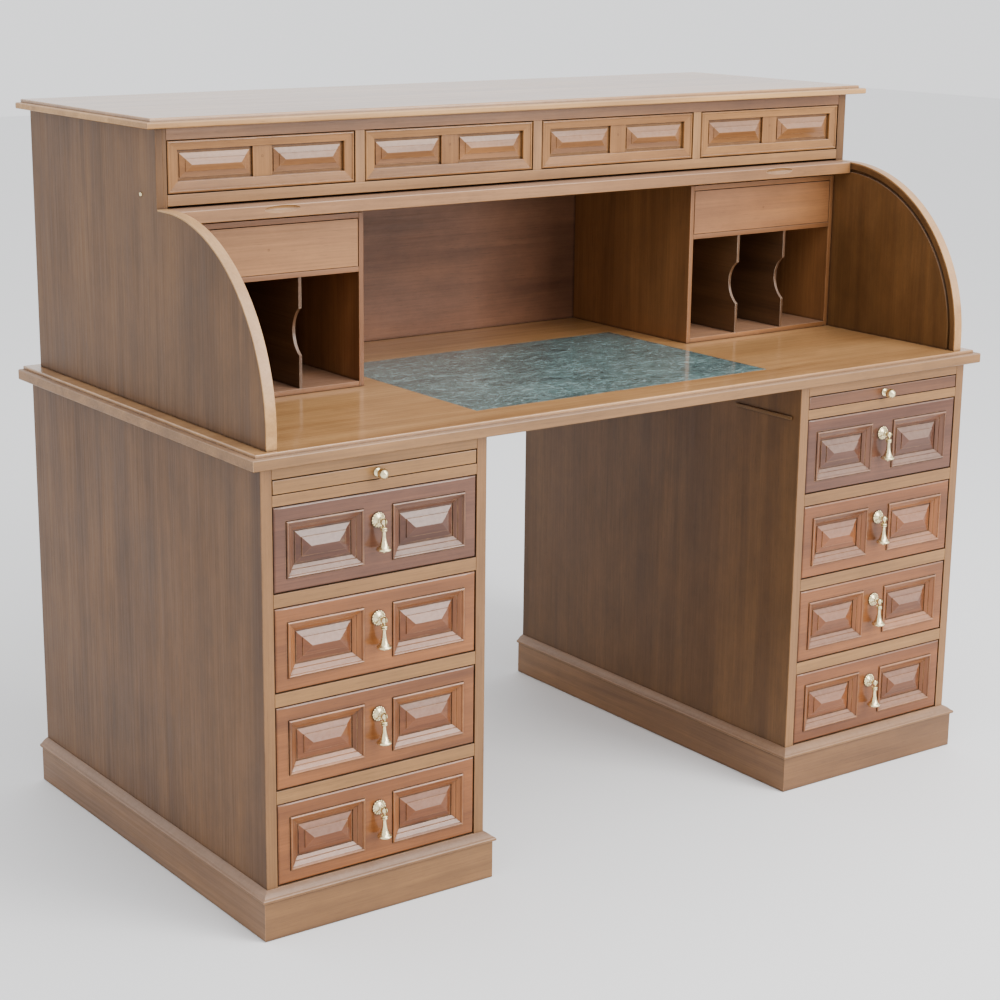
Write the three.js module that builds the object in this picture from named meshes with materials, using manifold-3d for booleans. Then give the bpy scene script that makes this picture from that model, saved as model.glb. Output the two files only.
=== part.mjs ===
// A roll top desk in walnut: two drawer pedestals, a writing top with a stone inset, and a hutch whose
// tambour runs in quarter-round grooves. Millimetres, +Z up, front towards -Y, origin at the bottom
// centre of the bounding box. The tambour is shown rolled back, under the upper drawers.
import * as THREE from "three";
import { mergeVertices } from "three/addons/utils/BufferGeometryUtils.js";
import Module from "manifold-3d";

const wasm = await Module();
wasm.setup();

// ---------------------------------------------------------------- driving dimensions

const seam = 0.3; // gap left at every glued or resting face
const slack = 1.2; // running gap round a drawer front
const ridgeDrop = 1; // how far a raised panel's ridge stays behind the face
const ridgeHalfWidth = 1;

const desk = { width: 1500, depth: 802, writingHeight: 752.5, height: 1203 };
const mainTop = { thickness: 23, stepWidth: 9.5, stepHeight: 5.3 };
const inset = { width: 610, depth: 430, frontMargin: 79, thickness: 3 };

const pedestal = { width: 398.5, endSetback: 22, frontSetback: 17.5, backSetback: 7, board: 18, back: 9 };
const plinth = {
  boardHeight: 62,
  boardThickness: 27,
  boardOverhang: 11,
  lipHeight: 6,
  lipOverhang: 15.5,
  slopeHeight: 10,
  slopeRun: 13.5,
};
const plinthShelf = { thickness: 12, ledge: 30 };
const frame = { bottomBoard: 16, topRail: 19, rail: 20.5, slideRail: 16.5, slideOpening: 24 };
const runner = { width: 26, frontRail: 45, backRail: 40, thickness: 14, post: 16 };
const slide = { thickness: 21, boardThickness: 12, frontLip: 22, length: 470, sideGap: 1.5 };

const drawer = {
  count: 4,
  front: 20,
  side: 10,
  bottom: 6,
  bottomDrop: 8,
  topDrop: 14,
  boxInset: 4,
  boxLift: 1,
  rearSpace: 120,
};
const panelFront = {
  sideMargin: 22.5,
  topMargin: 24.5,
  bottomMargin: 21.5,
  mullion: 53,
  recess: 9,
  gutter: 18,
};
const handle = {
  fromTop: 45,
  plateRadius: 12,
  plateBevel: 4,
  plateThickness: 3,
  stemRadius: 3.2,
  reach: 16.5,
  ballRadius: 4.6,
  pinRadius: 1,
};
const drop = {
  length: 44,
  rimRadius: 11.75,
  collarRadius: 5,
  stemRadius: 2.7,
  tang: 2,
  slot: 2.8,
  eyeRadius: 2.8,
  holeRadius: 1.35,
  swingGap: 0.6,
};
const slideKnob = { baseRadius: 7, baseThickness: 2.5, stemRadius: 3.2, ballRadius: 8.5, reach: 15 };

const arc = { radius: 290, footStraight: 22.5, topStraight: 27.5, footSetback: 18 };
const hutch = { endSetback: 32.5, backSetback: 20, side: 18, back: 8 };
const hutchTop = { thickness: 15.3, sideOverhang: 25.5, frontOverhang: 25.5 };
const upperCase = { reveal: 3.5, bottomRail: 17, topRail: 19.5, deck: 8, partition: 18, drawers: 4 };
const upperFront = { sideMargin: 19, topMargin: 14, bottomMargin: 18, mullion: 34, recess: 7, gutter: 6 };
const upperBox = {
  front: 18,
  side: 9,
  bottom: 5,
  bottomDrop: 6,
  topDrop: 10,
  boxInset: 3,
  boxLift: 0.5,
  rearSpace: 60,
};
const screwHole = { radius: 1.6, depth: 8, fromTop: 0.38 };
const track = { inset: 15.5, groove: 6, grooveDepth: 6 };
const liftRail = { depth: 49, thickness: 20, belowTrack: 5, frontSetback: 38.5, endGap: 0.8 };
const fingerGrip = { length: 66, height: 12, depth: 16, fromEnd: 178 };
const curtain = { sections: 5, thickness: 6, gap: 1, backGap: 0.8 };

const unit = { width: 352.5, headroom: 28, side: 9, board: 8.5, divider: 5.5, holes: 3, frontSetback: 2.5 };
const scallop = { radius: 46, depth: 21.5, centreFromShelf: 88 };
const smallDrawer = {
  opening: 78.5,
  front: 9,
  side: 6,
  bottom: 4,
  bottomDrop: 4,
  topDrop: 8,
  boxInset: 1,
  boxLift: 0,
  rearSpace: 40,
};
const interiorBack = { thickness: 8, cavity: 94 };

// ---------------------------------------------------------------- places that follow from them

const handleProud = handle.reach + drop.rimRadius - pedestal.frontSetback;
const frontY = (handleProud - desk.depth) / 2; // front edge of the main top
const backY = frontY + desk.depth;
const topUnderside = desk.writingHeight - mainTop.thickness;

const pedestalFront = frontY + pedestal.frontSetback;
const pedestalBack = backY - pedestal.backSetback;
const pedestalOuter = desk.width / 2 - pedestal.endSetback;
const pedestalInner = pedestalOuter - pedestal.width;
const openingOuter = pedestalOuter - pedestal.board;
const openingInner = pedestalInner + pedestal.board;
const openingCentre = (openingOuter + openingInner) / 2;
const bodyBottom = plinth.boardHeight + seam;
const bodyTop = topUnderside - seam;
const drawersBottom = bodyBottom + frame.bottomBoard;
const slideTop = bodyTop - frame.topRail;
const slideBottom = slideTop - frame.slideOpening;
const drawersTop = slideBottom - frame.slideRail;
const drawerPitch = (drawersTop - drawersBottom + frame.rail) / drawer.count;
const drawerOpening = drawerPitch - frame.rail;
const carcassBack = pedestalBack - pedestal.back - seam;

const hutchOuter = desk.width / 2 - hutch.endSetback;
const hutchInner = hutchOuter - hutch.side;
const arcCentre = { y: frontY + arc.footSetback + arc.radius, z: desk.writingHeight + arc.footStraight };
const arcTop = arcCentre.z + arc.radius;
const hutchFront = arcCentre.y + arc.topStraight;
const hutchBack = backY - hutch.backSetback;
const hutchBottom = desk.writingHeight + seam;
const hutchTopUnderside = desk.height - hutchTop.thickness;
const backPanelFront = hutchBack - hutch.back;
const trackRadius = arc.radius - track.inset;
const trackZ = arcCentre.z + trackRadius;
const caseInner = hutchInner - seam;
const railBottom = arcTop + upperCase.reveal;
const upperOpeningBottom = railBottom + upperCase.bottomRail;
const upperOpeningTop = hutchTopUnderside - seam - upperCase.topRail;
const partitionsWidth = (upperCase.drawers - 1) * upperCase.partition;
const upperOpening = (2 * caseInner - partitionsWidth) / upperCase.drawers;

const unitInner = hutchInner - unit.width;
const unitOuter = hutchInner - seam;
const unitFront = hutchFront + unit.frontSetback;
const unitTop = arcTop - unit.headroom;
const interiorBackY = backPanelFront - interiorBack.cavity;
const unitBack = interiorBackY - interiorBack.thickness - seam;
const shelfTop = unitTop - unit.board - smallDrawer.opening;
const shelfBottom = shelfTop - unit.board;

// ---------------------------------------------------------------- finishes

const finishes = {
  walnut: new THREE.MeshStandardMaterial({ color: 0x93694a, roughness: 0.38, metalness: 0 }),
  panelWalnut: new THREE.MeshStandardMaterial({ color: 0x7d6350, roughness: 0.42, metalness: 0 }),
  topWalnut: new THREE.MeshStandardMaterial({ color: 0xa5714f, roughness: 0.3, metalness: 0 }),
  drawerWalnut: new THREE.MeshStandardMaterial({ color: 0x8d5c40, roughness: 0.36, metalness: 0 }),
  paleWalnut: new THREE.MeshStandardMaterial({ color: 0xb98d6b, roughness: 0.5, metalness: 0 }),
  tambourWalnut: new THREE.MeshStandardMaterial({ color: 0xb08a68, roughness: 0.4, metalness: 0 }),
  marble: new THREE.MeshStandardMaterial({ color: 0x3f5b5a, roughness: 0.15, metalness: 0 }),
  brass: new THREE.MeshStandardMaterial({ color: 0xcdb983, roughness: 0.25, metalness: 1 }),
};

// ---------------------------------------------------------------- solids

// A closed three.js geometry as a solid.
function solid(geometry) {
  const bare = geometry.clone();
  bare.deleteAttribute("normal");
  bare.deleteAttribute("uv");
  const merged = mergeVertices(bare, 1e-4);
  const mesh = new wasm.Mesh({
    numProp: 3,
    vertProperties: new Float32Array(merged.attributes.position.array),
    triVerts: new Uint32Array(merged.index.array),
  });
  return new wasm.Manifold(mesh);
}

// A rectangular block between two values on each axis, in either order.
function block([x0, x1], [y0, y1], [z0, z1]) {
  const geometry = new THREE.BoxGeometry(Math.abs(x1 - x0), Math.abs(y1 - y0), Math.abs(z1 - z0));
  geometry.translate((x0 + x1) / 2, (y0 + y1) / 2, (z0 + z1) / 2);
  return solid(geometry);
}

// An outline in the Y-Z plane, given as a Shape of (y, z), drawn out from x0 to x1.
function alongX(shape, [x0, x1], curveSegments = 24) {
  const low = Math.min(x0, x1);
  const depth = Math.abs(x1 - x0);
  const geometry = new THREE.ExtrudeGeometry(shape, { depth, bevelEnabled: false, curveSegments });
  const axes = new THREE.Matrix4().makeBasis(
    new THREE.Vector3(0, 1, 0),
    new THREE.Vector3(0, 0, 1),
    new THREE.Vector3(1, 0, 0),
  );
  geometry.applyMatrix4(axes);
  geometry.translate(low, 0, 0);
  return solid(geometry);
}

// A block whose top face is drawn in by the same amount on chosen sides, as a sloped moulding is.
function slopedBlock([x0, x1], [y0, y1], [z0, z1], drawIn) {
  const geometry = new THREE.BoxGeometry(x1 - x0, y1 - y0, z1 - z0);
  geometry.translate((x0 + x1) / 2, (y0 + y1) / 2, (z0 + z1) / 2);
  const position = geometry.attributes.position;
  for (let i = 0; i < position.count; i++) {
    if (position.getZ(i) < (z0 + z1) / 2) continue;
    const x = position.getX(i);
    const y = position.getY(i);
    position.setX(i, x < (x0 + x1) / 2 ? x0 + drawIn.left : x1 - drawIn.right);
    position.setY(i, y < (y0 + y1) / 2 ? y0 + drawIn.front : y1 - drawIn.back);
  }
  return solid(geometry);
}

// A turned solid: profile points are [radius, height]; the axis stands along +Z, or faces -Y.
function turned(profile, facing, segments = 12) {
  const points = profile.map(([radius, height]) => new THREE.Vector2(radius, height));
  const geometry = new THREE.LatheGeometry(points, segments);
  geometry.rotateX(facing === "front" ? Math.PI : Math.PI / 2);
  return solid(geometry);
}

// A sphere with its poles on the X axis.
function ball(radius, [x, y, z], widthSegments = 12, heightSegments = 8) {
  const geometry = new THREE.SphereGeometry(radius, widthSegments, heightSegments);
  geometry.rotateZ(Math.PI / 2);
  geometry.translate(x, y, z);
  return solid(geometry);
}

// A round rod along X.
function rodX(radius, [x0, x1], [y, z], segments = 12) {
  const geometry = new THREE.CylinderGeometry(radius, radius, Math.abs(x1 - x0), segments);
  geometry.rotateZ(Math.PI / 2);
  geometry.translate((x0 + x1) / 2, y, z);
  return solid(geometry);
}

// A named mesh of one finish from a solid.
function mesh(name, shape, finish) {
  const { vertProperties, triVerts, numProp } = shape.getMesh();
  const positions = new Float32Array((vertProperties.length / numProp) * 3);
  for (let i = 0; i < positions.length / 3; i++) {
    positions.set(vertProperties.subarray(i * numProp, i * numProp + 3), i * 3);
  }
  const geometry = new THREE.BufferGeometry();
  geometry.setAttribute("position", new THREE.BufferAttribute(positions, 3));
  geometry.setIndex(new THREE.BufferAttribute(new Uint32Array(triVerts), 1));
  geometry.computeVertexNormals();
  const made = new THREE.Mesh(geometry, finish.clone());
  made.name = name;
  return made;
}

const joined = (parts) => parts.reduce((all, part) => all.add(part));
const sides = [
  { name: "left", sign: -1 },
  { name: "right", sign: 1 },
];

// ---------------------------------------------------------------- main top and inset

const insetX = [-inset.width / 2, inset.width / 2];
const insetY = [frontY + inset.frontMargin, frontY + inset.frontMargin + inset.depth];

function makeMainTop() {
  const halfWidth = desk.width / 2;
  const stepZ = desk.writingHeight - mainTop.stepHeight;
  const upperX = halfWidth - mainTop.stepWidth;
  const slab = block([-halfWidth, halfWidth], [frontY, backY], [topUnderside, stepZ]);
  const upperY = [frontY + mainTop.stepWidth, backY];
  const upper = block([-upperX, upperX], upperY, [stepZ - 1, desk.writingHeight]);
  const recess = block(insetX, insetY, [desk.writingHeight - inset.thickness, desk.writingHeight + 1]);
  return mesh("main_top", slab.add(upper).subtract(recess), finishes.topWalnut);
}

function makeInset() {
  const shape = block(
    [insetX[0] + seam, insetX[1] - seam],
    [insetY[0] + seam, insetY[1] - seam],
    [desk.writingHeight - inset.thickness + seam, desk.writingHeight],
  );
  return mesh("writing_inset", shape, finishes.marble);
}

// ---------------------------------------------------------------- drawer parts

// A front board with two sunk fields, each holding a raised panel with hipped ends.
function panelledFront([x0, x1], [y0, y1], [z0, z1], sizes) {
  let board = block([x0, x1], [y0, y1], [z0, z1]);
  const centre = (x0 + x1) / 2;
  const fieldZ = [z0 + sizes.bottomMargin, z1 - sizes.topMargin];
  const fields = [
    [x0 + sizes.sideMargin, centre - sizes.mullion / 2],
    [centre + sizes.mullion / 2, x1 - sizes.sideMargin],
  ];
  for (const fieldX of fields) {
    board = board.subtract(block(fieldX, [y0 - 1, y0 + sizes.recess], fieldZ));
    board = board.add(hippedPanel(fieldX, y0, fieldZ, sizes));
  }
  return board;
}

// The raised panel of one field: a low roof that rises from the recess to just behind the front face.
function hippedPanel(fieldX, faceY, fieldZ, { gutter, recess }) {
  const width = fieldX[1] - fieldX[0] - 2 * gutter;
  const height = fieldZ[1] - fieldZ[0] - 2 * gutter;
  const rise = recess - ridgeDrop;
  const hip = Math.min(width, height) / 2 - ridgeHalfWidth;
  const geometry = new THREE.BoxGeometry(width, height, rise + 1);
  const position = geometry.attributes.position;
  for (let i = 0; i < position.count; i++) {
    if (position.getZ(i) < 0) continue;
    position.setX(i, position.getX(i) - Math.sign(position.getX(i)) * hip);
    position.setY(i, position.getY(i) - Math.sign(position.getY(i)) * hip);
  }
  geometry.rotateX(Math.PI / 2);
  geometry.translate(
    (fieldX[0] + fieldX[1]) / 2,
    faceY + recess - (rise - 1) / 2,
    (fieldZ[0] + fieldZ[1]) / 2,
  );
  return solid(geometry);
}

// The open box behind a drawer front: two sides, a back and a bottom.
function drawerBox([x0, x1], [y0, y1], [z0, z1], sizes) {
  const outer = block([x0, x1], [y0 - 1, y1], [z0, z1]);
  const hollow = block(
    [x0 + sizes.side, x1 - sizes.side],
    [y0, y1 - sizes.side],
    [z0 + sizes.bottomDrop + sizes.bottom, z1 + 1],
  );
  const underZ = [z0 - 1, z0 + sizes.bottomDrop];
  const underside = block([x0 + sizes.side, x1 - sizes.side], [y0, y1 + 1], underZ);
  return outer.subtract(hollow).subtract(underside);
}

// ---------------------------------------------------------------- pedestals

function makePedestalSides({ name, sign }) {
  const spanY = [pedestalFront, pedestalBack];
  const spanZ = [bodyBottom, bodyTop];
  const outer = block([sign * pedestalOuter, sign * openingOuter], spanY, spanZ);
  const inner = block([sign * openingInner, sign * pedestalInner], spanY, spanZ);
  return [
    mesh(`${name}_pedestal_outer_side`, outer, finishes.panelWalnut),
    mesh(`${name}_pedestal_inner_side`, inner, finishes.panelWalnut),
  ];
}

function makePedestalBack({ name, sign }) {
  const spanX = [sign * (openingInner + seam), sign * (openingOuter - seam)];
  const shape = block(spanX, [pedestalBack - pedestal.back, pedestalBack], [bodyBottom, bodyTop]);
  return mesh(`${name}_pedestal_back`, shape, finishes.paleWalnut);
}

// The rails between the drawers, each with the runners behind it, joined by two posts at the back.
function makeRunnerFrame({ name, sign }) {
  const low = openingInner + seam;
  const high = openingOuter - seam;
  const level = ([z0, z1]) => {
    const rail = block([low, high], [pedestalFront, pedestalFront + runner.frontRail], [z0, z1]);
    const runnerZ = [z1 - runner.thickness, z1];
    const slab = block([low, high], [pedestalFront + 1, carcassBack], runnerZ);
    const middleY = [pedestalFront + runner.frontRail, carcassBack - runner.backRail];
    const middle = block([low + runner.width, high - runner.width], middleY, [z0 - 1, z1 + 1]);
    return rail.add(slab.subtract(middle));
  };
  const levels = [level([bodyBottom, drawersBottom]), level([slideBottom - frame.slideRail, slideBottom])];
  for (let i = 1; i < drawer.count; i++) {
    const openingBase = drawersBottom + i * drawerPitch;
    levels.push(level([openingBase - frame.rail, openingBase]));
  }
  levels.push(level([slideTop, bodyTop]));
  const postY = [carcassBack - runner.post, carcassBack];
  const posts = [
    block([low, low + runner.post], postY, [bodyBottom, bodyTop]),
    block([high - runner.post, high], postY, [bodyBottom, bodyTop]),
  ];
  const shape = joined([...levels, ...posts]);
  const placed = sign > 0 ? shape : shape.mirror([1, 0, 0]);
  return mesh(`${name}_runner_frame`, placed, finishes.walnut);
}

// A hollow base: boards, a moulded lip, a slope up to the body and a ledge that carries it.
function makePlinth({ name, sign }) {
  const low = Math.min(sign * pedestalInner, sign * pedestalOuter);
  const high = low + pedestal.width;
  const grown = (by) => ({ x: [low - by, high + by], y: [pedestalFront - by, pedestalBack] });
  const board = grown(plinth.boardOverhang);
  const lip = grown(plinth.lipOverhang);
  const lipTop = plinth.boardHeight + plinth.lipHeight;
  const slopeTop = lipTop + plinth.slopeHeight;
  const run = plinth.slopeRun;
  const drawIn = { left: run, right: run, front: run, back: 0 };
  const outside = joined([
    block(board.x, board.y, [0, plinth.boardHeight]),
    block(lip.x, lip.y, [plinth.boardHeight - 1, lipTop]),
    slopedBlock(lip.x, lip.y, [lipTop - 0.5, slopeTop], drawIn),
  ]);
  const seatFront = pedestalFront - seam;
  const seatZ = [plinth.boardHeight, slopeTop + 1];
  const seat = block([low - seam, high + seam], [seatFront, pedestalBack + 1], seatZ);
  const ledge = plinthShelf.ledge;
  const well = block(
    [low + ledge, high - ledge],
    [pedestalFront + ledge, pedestalBack - ledge],
    [-1, plinth.boardHeight + 1],
  );
  const wall = plinth.boardThickness - plinth.boardOverhang;
  const under = block(
    [low + wall, high - wall],
    [pedestalFront + wall, pedestalBack - wall],
    [-1, plinth.boardHeight - plinthShelf.thickness],
  );
  const shape = outside.subtract(seat).subtract(well).subtract(under);
  return mesh(`${name}_plinth`, shape, finishes.walnut);
}

function makePedestalDrawer({ name, sign }, index) {
  const fromTop = index - 1;
  const openingTop = drawersTop - fromTop * drawerPitch;
  const low = Math.min(sign * openingInner, sign * openingOuter);
  const high = Math.max(sign * openingInner, sign * openingOuter);
  const frontX = [low + slack, high - slack];
  const frontZ = [openingTop - drawerOpening + slack, openingTop - slack];
  const front = panelledFront(frontX, [pedestalFront, pedestalFront + drawer.front], frontZ, panelFront);
  const box = drawerBox(
    [low + drawer.boxInset, high - drawer.boxInset],
    [pedestalFront + drawer.front, carcassBack - drawer.rearSpace],
    [frontZ[0] + drawer.boxLift, frontZ[1] - drawer.topDrop],
    drawer,
  );
  return mesh(`${name}_drawer_${index}`, front.add(box), finishes.drawerWalnut);
}

// The fixed part of a pull: a plate, a stem and a slotted ball with a cross pin.
function makeHandlePlate({ name, sign }, index) {
  const centre = handleCentre(sign, index);
  const plate = turned(
    [
      [0, 0],
      [handle.plateRadius, 0],
      [handle.plateRadius, 1],
      [handle.plateRadius - handle.plateBevel, handle.plateThickness],
      [handle.stemRadius, handle.plateThickness],
      [handle.stemRadius, handle.reach],
      [0, handle.reach],
    ],
    "front",
  ).translate([centre.x, pedestalFront - seam, centre.z]);
  const knuckle = ball(handle.ballRadius, [centre.x, centre.y, centre.z]);
  const clear = drop.eyeRadius + drop.swingGap;
  const slotY = [centre.y - handle.ballRadius - 1, centre.y + clear];
  const slotZ = [centre.z - handle.ballRadius - 1, centre.z + clear];
  const slot = block([centre.x - drop.slot / 2, centre.x + drop.slot / 2], slotY, slotZ);
  const pinX = [centre.x - handle.ballRadius + 1, centre.x + handle.ballRadius - 1];
  const pin = rodX(handle.pinRadius, pinX, [centre.y, centre.z], 8);
  const shape = plate.add(knuckle).subtract(slot).add(pin);
  return mesh(`${name}_handle_plate_${index}`, shape, finishes.brass);
}

// The hanging part: a flat eye on the pin, a collar, a thin neck and a bell.
function makeHandleDrop({ name, sign }, index) {
  const centre = handleCentre(sign, index);
  const { length, rimRadius, collarRadius, stemRadius } = drop;
  const bell = turned(
    [
      [0, -length - 4],
      [2, -length - 2.5],
      [rimRadius - 3, -length],
      [rimRadius, -length + 2.5],
      [rimRadius - 1.5, -length + 5],
      [stemRadius + 2.4, -length + 11],
      [stemRadius, -length + 20],
      [stemRadius, -14.5],
      [collarRadius, -13],
      [collarRadius, -8.5],
      [stemRadius, -7],
      [0, -7],
    ],
    "up",
  ).translate([centre.x, centre.y, centre.z]);
  const half = drop.tang / 2;
  const tangX = [centre.x - half, centre.x + half];
  const tang = block(tangX, [centre.y - 2, centre.y + 2], [centre.z - 7.5, centre.z]);
  const eye = rodX(drop.eyeRadius, tangX, [centre.y, centre.z]);
  const hole = rodX(drop.holeRadius, [centre.x - drop.tang, centre.x + drop.tang], [centre.y, centre.z], 8);
  return mesh(`${name}_handle_drop_${index}`, bell.add(tang).add(eye).subtract(hole), finishes.brass);
}

function handleCentre(sign, index) {
  const openingTop = drawersTop - (index - 1) * drawerPitch;
  return { x: sign * openingCentre, y: pedestalFront - handle.reach, z: openingTop - handle.fromTop };
}

// The pull-out writing slide: a board with a thicker front lip, and its turned knob.
function makeWritingSlide({ name, sign }) {
  const low = Math.min(sign * openingInner, sign * openingOuter) + slide.sideGap;
  const high = Math.max(sign * openingInner, sign * openingOuter) - slide.sideGap;
  const baseZ = slideBottom + slack;
  const lipY = [pedestalFront, pedestalFront + slide.frontLip];
  const lip = block([low, high], lipY, [baseZ, baseZ + slide.thickness]);
  const boardY = [pedestalFront + 1, pedestalFront + slide.length];
  const board = block([low + 1, high - 1], boardY, [baseZ, baseZ + slide.boardThickness]);
  return mesh(`${name}_writing_slide`, lip.add(board), finishes.walnut);
}

function makeSlideKnob({ name, sign }) {
  const { baseRadius, baseThickness, stemRadius, ballRadius, reach } = slideKnob;
  const z = slideBottom + slack + slide.thickness / 2;
  const stem = turned(
    [
      [0, 0],
      [baseRadius, 0],
      [baseRadius - 1, baseThickness],
      [stemRadius, baseThickness + 1],
      [stemRadius, reach],
      [0, reach],
    ],
    "front",
  ).translate([sign * openingCentre, pedestalFront - seam, z]);
  const head = ball(ballRadius, [sign * openingCentre, pedestalFront - reach, z], 14, 10);
  return mesh(`${name}_slide_knob`, stem.add(head), finishes.brass);
}

function makePedestal(side) {
  const group = new THREE.Group();
  group.add(...makePedestalSides(side), makePedestalBack(side), makeRunnerFrame(side), makePlinth(side));
  for (let index = 1; index <= drawer.count; index++) {
    group.add(makePedestalDrawer(side, index), makeHandlePlate(side, index), makeHandleDrop(side, index));
  }
  group.add(makeWritingSlide(side), makeSlideKnob(side));
  return group;
}

// ---------------------------------------------------------------- hutch case

// The outline of a hutch side: a straight foot, a quarter round, and the upright upper part.
function sideOutline() {
  const shape = new THREE.Shape();
  shape.moveTo(arcCentre.y - arc.radius, hutchBottom);
  shape.lineTo(hutchBack, hutchBottom);
  shape.lineTo(hutchBack, hutchTopUnderside - seam);
  shape.lineTo(hutchFront, hutchTopUnderside - seam);
  shape.lineTo(hutchFront, arcTop);
  shape.lineTo(arcCentre.y, arcTop);
  shape.absarc(arcCentre.y, arcCentre.z, arc.radius, Math.PI / 2, Math.PI, false);
  shape.closePath();
  return shape;
}

// The tambour's track as a band of one groove's width, from the foot to the back panel.
function trackBand() {
  const outer = trackRadius + track.groove / 2;
  const inner = trackRadius - track.groove / 2;
  const shape = new THREE.Shape();
  shape.moveTo(arcCentre.y - outer, hutchBottom - 1);
  shape.lineTo(arcCentre.y - inner, hutchBottom - 1);
  shape.absarc(arcCentre.y, arcCentre.z, inner, Math.PI, Math.PI / 2, true);
  shape.lineTo(backPanelFront, arcCentre.z + inner);
  shape.lineTo(backPanelFront, arcCentre.z + outer);
  shape.absarc(arcCentre.y, arcCentre.z, outer, Math.PI / 2, Math.PI, false);
  shape.closePath();
  return shape;
}

function makeHutchSide({ name, sign }) {
  const panel = alongX(sideOutline(), [sign * hutchInner, sign * hutchOuter]);
  const groove = alongX(trackBand(), [sign * (hutchInner - 1), sign * (hutchInner + track.grooveDepth)]);
  return mesh(`hutch_${name}_side`, panel.subtract(groove), finishes.panelWalnut);
}

function makeHutchBack() {
  const spanX = [-caseInner, caseInner];
  const shape = block(spanX, [backPanelFront, hutchBack], [hutchBottom, hutchTopUnderside - seam]);
  return mesh("hutch_back", shape, finishes.paleWalnut);
}

function makeHutchTop() {
  const half = hutchOuter + hutchTop.sideOverhang;
  const front = hutchFront - hutchTop.frontOverhang;
  const stepZ = desk.height - mainTop.stepHeight;
  const lower = block([-half, half], [front, hutchBack], [hutchTopUnderside, stepZ]);
  const upperX = half - mainTop.stepWidth;
  const upper = block([-upperX, upperX], [front + mainTop.stepWidth, hutchBack], [stepZ - 1, desk.height]);
  return mesh("hutch_top", lower.add(upper), finishes.topWalnut);
}

// The frame of the upper drawers: bottom rail, deck, partitions and top rail.
function makeUpperCase() {
  const spanX = [-caseInner, caseInner];
  const fullY = [hutchFront, backPanelFront - seam];
  const faceY = [hutchFront, hutchFront + upperCase.partition];
  const topZ = hutchTopUnderside - seam;
  const parts = [
    block(spanX, faceY, [railBottom, upperOpeningBottom]),
    block(spanX, fullY, [upperOpeningBottom - upperCase.deck, upperOpeningBottom]),
    block(spanX, faceY, [upperOpeningTop, topZ]),
  ];
  for (let i = 1; i < upperCase.drawers; i++) {
    const x = -caseInner + i * upperOpening + (i - 1) * upperCase.partition;
    parts.push(block([x, x + upperCase.partition], fullY, [upperOpeningBottom - 1, topZ]));
  }
  return mesh("upper_drawer_case", joined(parts), finishes.walnut);
}

function makeUpperDrawer(index) {
  const low = -caseInner + (index - 1) * (upperOpening + upperCase.partition);
  const high = low + upperOpening;
  const frontX = [low + slack, high - slack];
  const frontZ = [upperOpeningBottom + slack, upperOpeningTop - slack];
  const frontBoardY = [hutchFront, hutchFront + upperBox.front];
  const front = panelledFront(frontX, frontBoardY, frontZ, upperFront);
  const box = drawerBox(
    [low + upperBox.boxInset, high - upperBox.boxInset],
    [frontBoardY[1], backPanelFront - upperBox.rearSpace],
    [frontZ[0] + upperBox.boxLift, frontZ[1] - upperBox.topDrop],
    upperBox,
  );
  const holeZ = frontZ[1] - (frontZ[1] - frontZ[0]) * screwHole.fromTop;
  const hole = screwHoleAt((low + high) / 2, hutchFront, holeZ);
  return mesh(`upper_drawer_${index}`, front.add(box).subtract(hole), finishes.drawerWalnut);
}

// A small round hole drilled straight back into a front face.
function screwHoleAt(x, faceY, z) {
  const length = 2 * screwHole.depth;
  const geometry = new THREE.CylinderGeometry(screwHole.radius, screwHole.radius, length, 8);
  geometry.translate(x, faceY, z);
  return solid(geometry);
}

function makeInteriorBack() {
  const spanY = [interiorBackY - interiorBack.thickness, interiorBackY];
  const shape = block([-caseInner, caseInner], spanY, [hutchBottom, unitTop]);
  return mesh("interior_back", shape, finishes.panelWalnut);
}

// ---------------------------------------------------------------- pigeonhole units

// The front cut-out of a divider: a rod of the scallop's radius, set so that it bites to its depth.
function scallopCut(x0, x1) {
  const y = unitFront + scallop.depth - scallop.radius;
  return rodX(scallop.radius, [x0, x1], [y, shelfBottom - scallop.centreFromShelf], 40);
}

function makePigeonholeUnit({ name, sign }) {
  const spanY = [unitFront, unitBack];
  const spanZ = [hutchBottom, unitTop];
  const inside = [unitInner + unit.side, unitOuter - unit.side];
  const boards = [
    block([unitInner, inside[0]], spanY, spanZ),
    block([inside[1], unitOuter], spanY, spanZ),
    block([unitInner, unitOuter], spanY, [hutchBottom, hutchBottom + unit.board]),
    block([unitInner, unitOuter], spanY, [shelfBottom, shelfTop]),
    block([unitInner, unitOuter], spanY, [unitTop - unit.board, unitTop]),
  ];
  const hole = (inside[1] - inside[0] - (unit.holes - 1) * unit.divider) / unit.holes;
  for (let i = 1; i < unit.holes; i++) {
    const x = inside[0] + i * hole + (i - 1) * unit.divider;
    const dividerZ = [hutchBottom + 1, shelfTop - 1];
    const divider = block([x, x + unit.divider], [unitFront + 1, unitBack], dividerZ);
    boards.push(divider.subtract(scallopCut(x - 1, x + unit.divider + 1)));
  }
  const shape = joined(boards);
  const placed = sign > 0 ? shape : shape.mirror([1, 0, 0]);
  return mesh(`${name}_pigeonhole_unit`, placed, finishes.paleWalnut);
}

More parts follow.
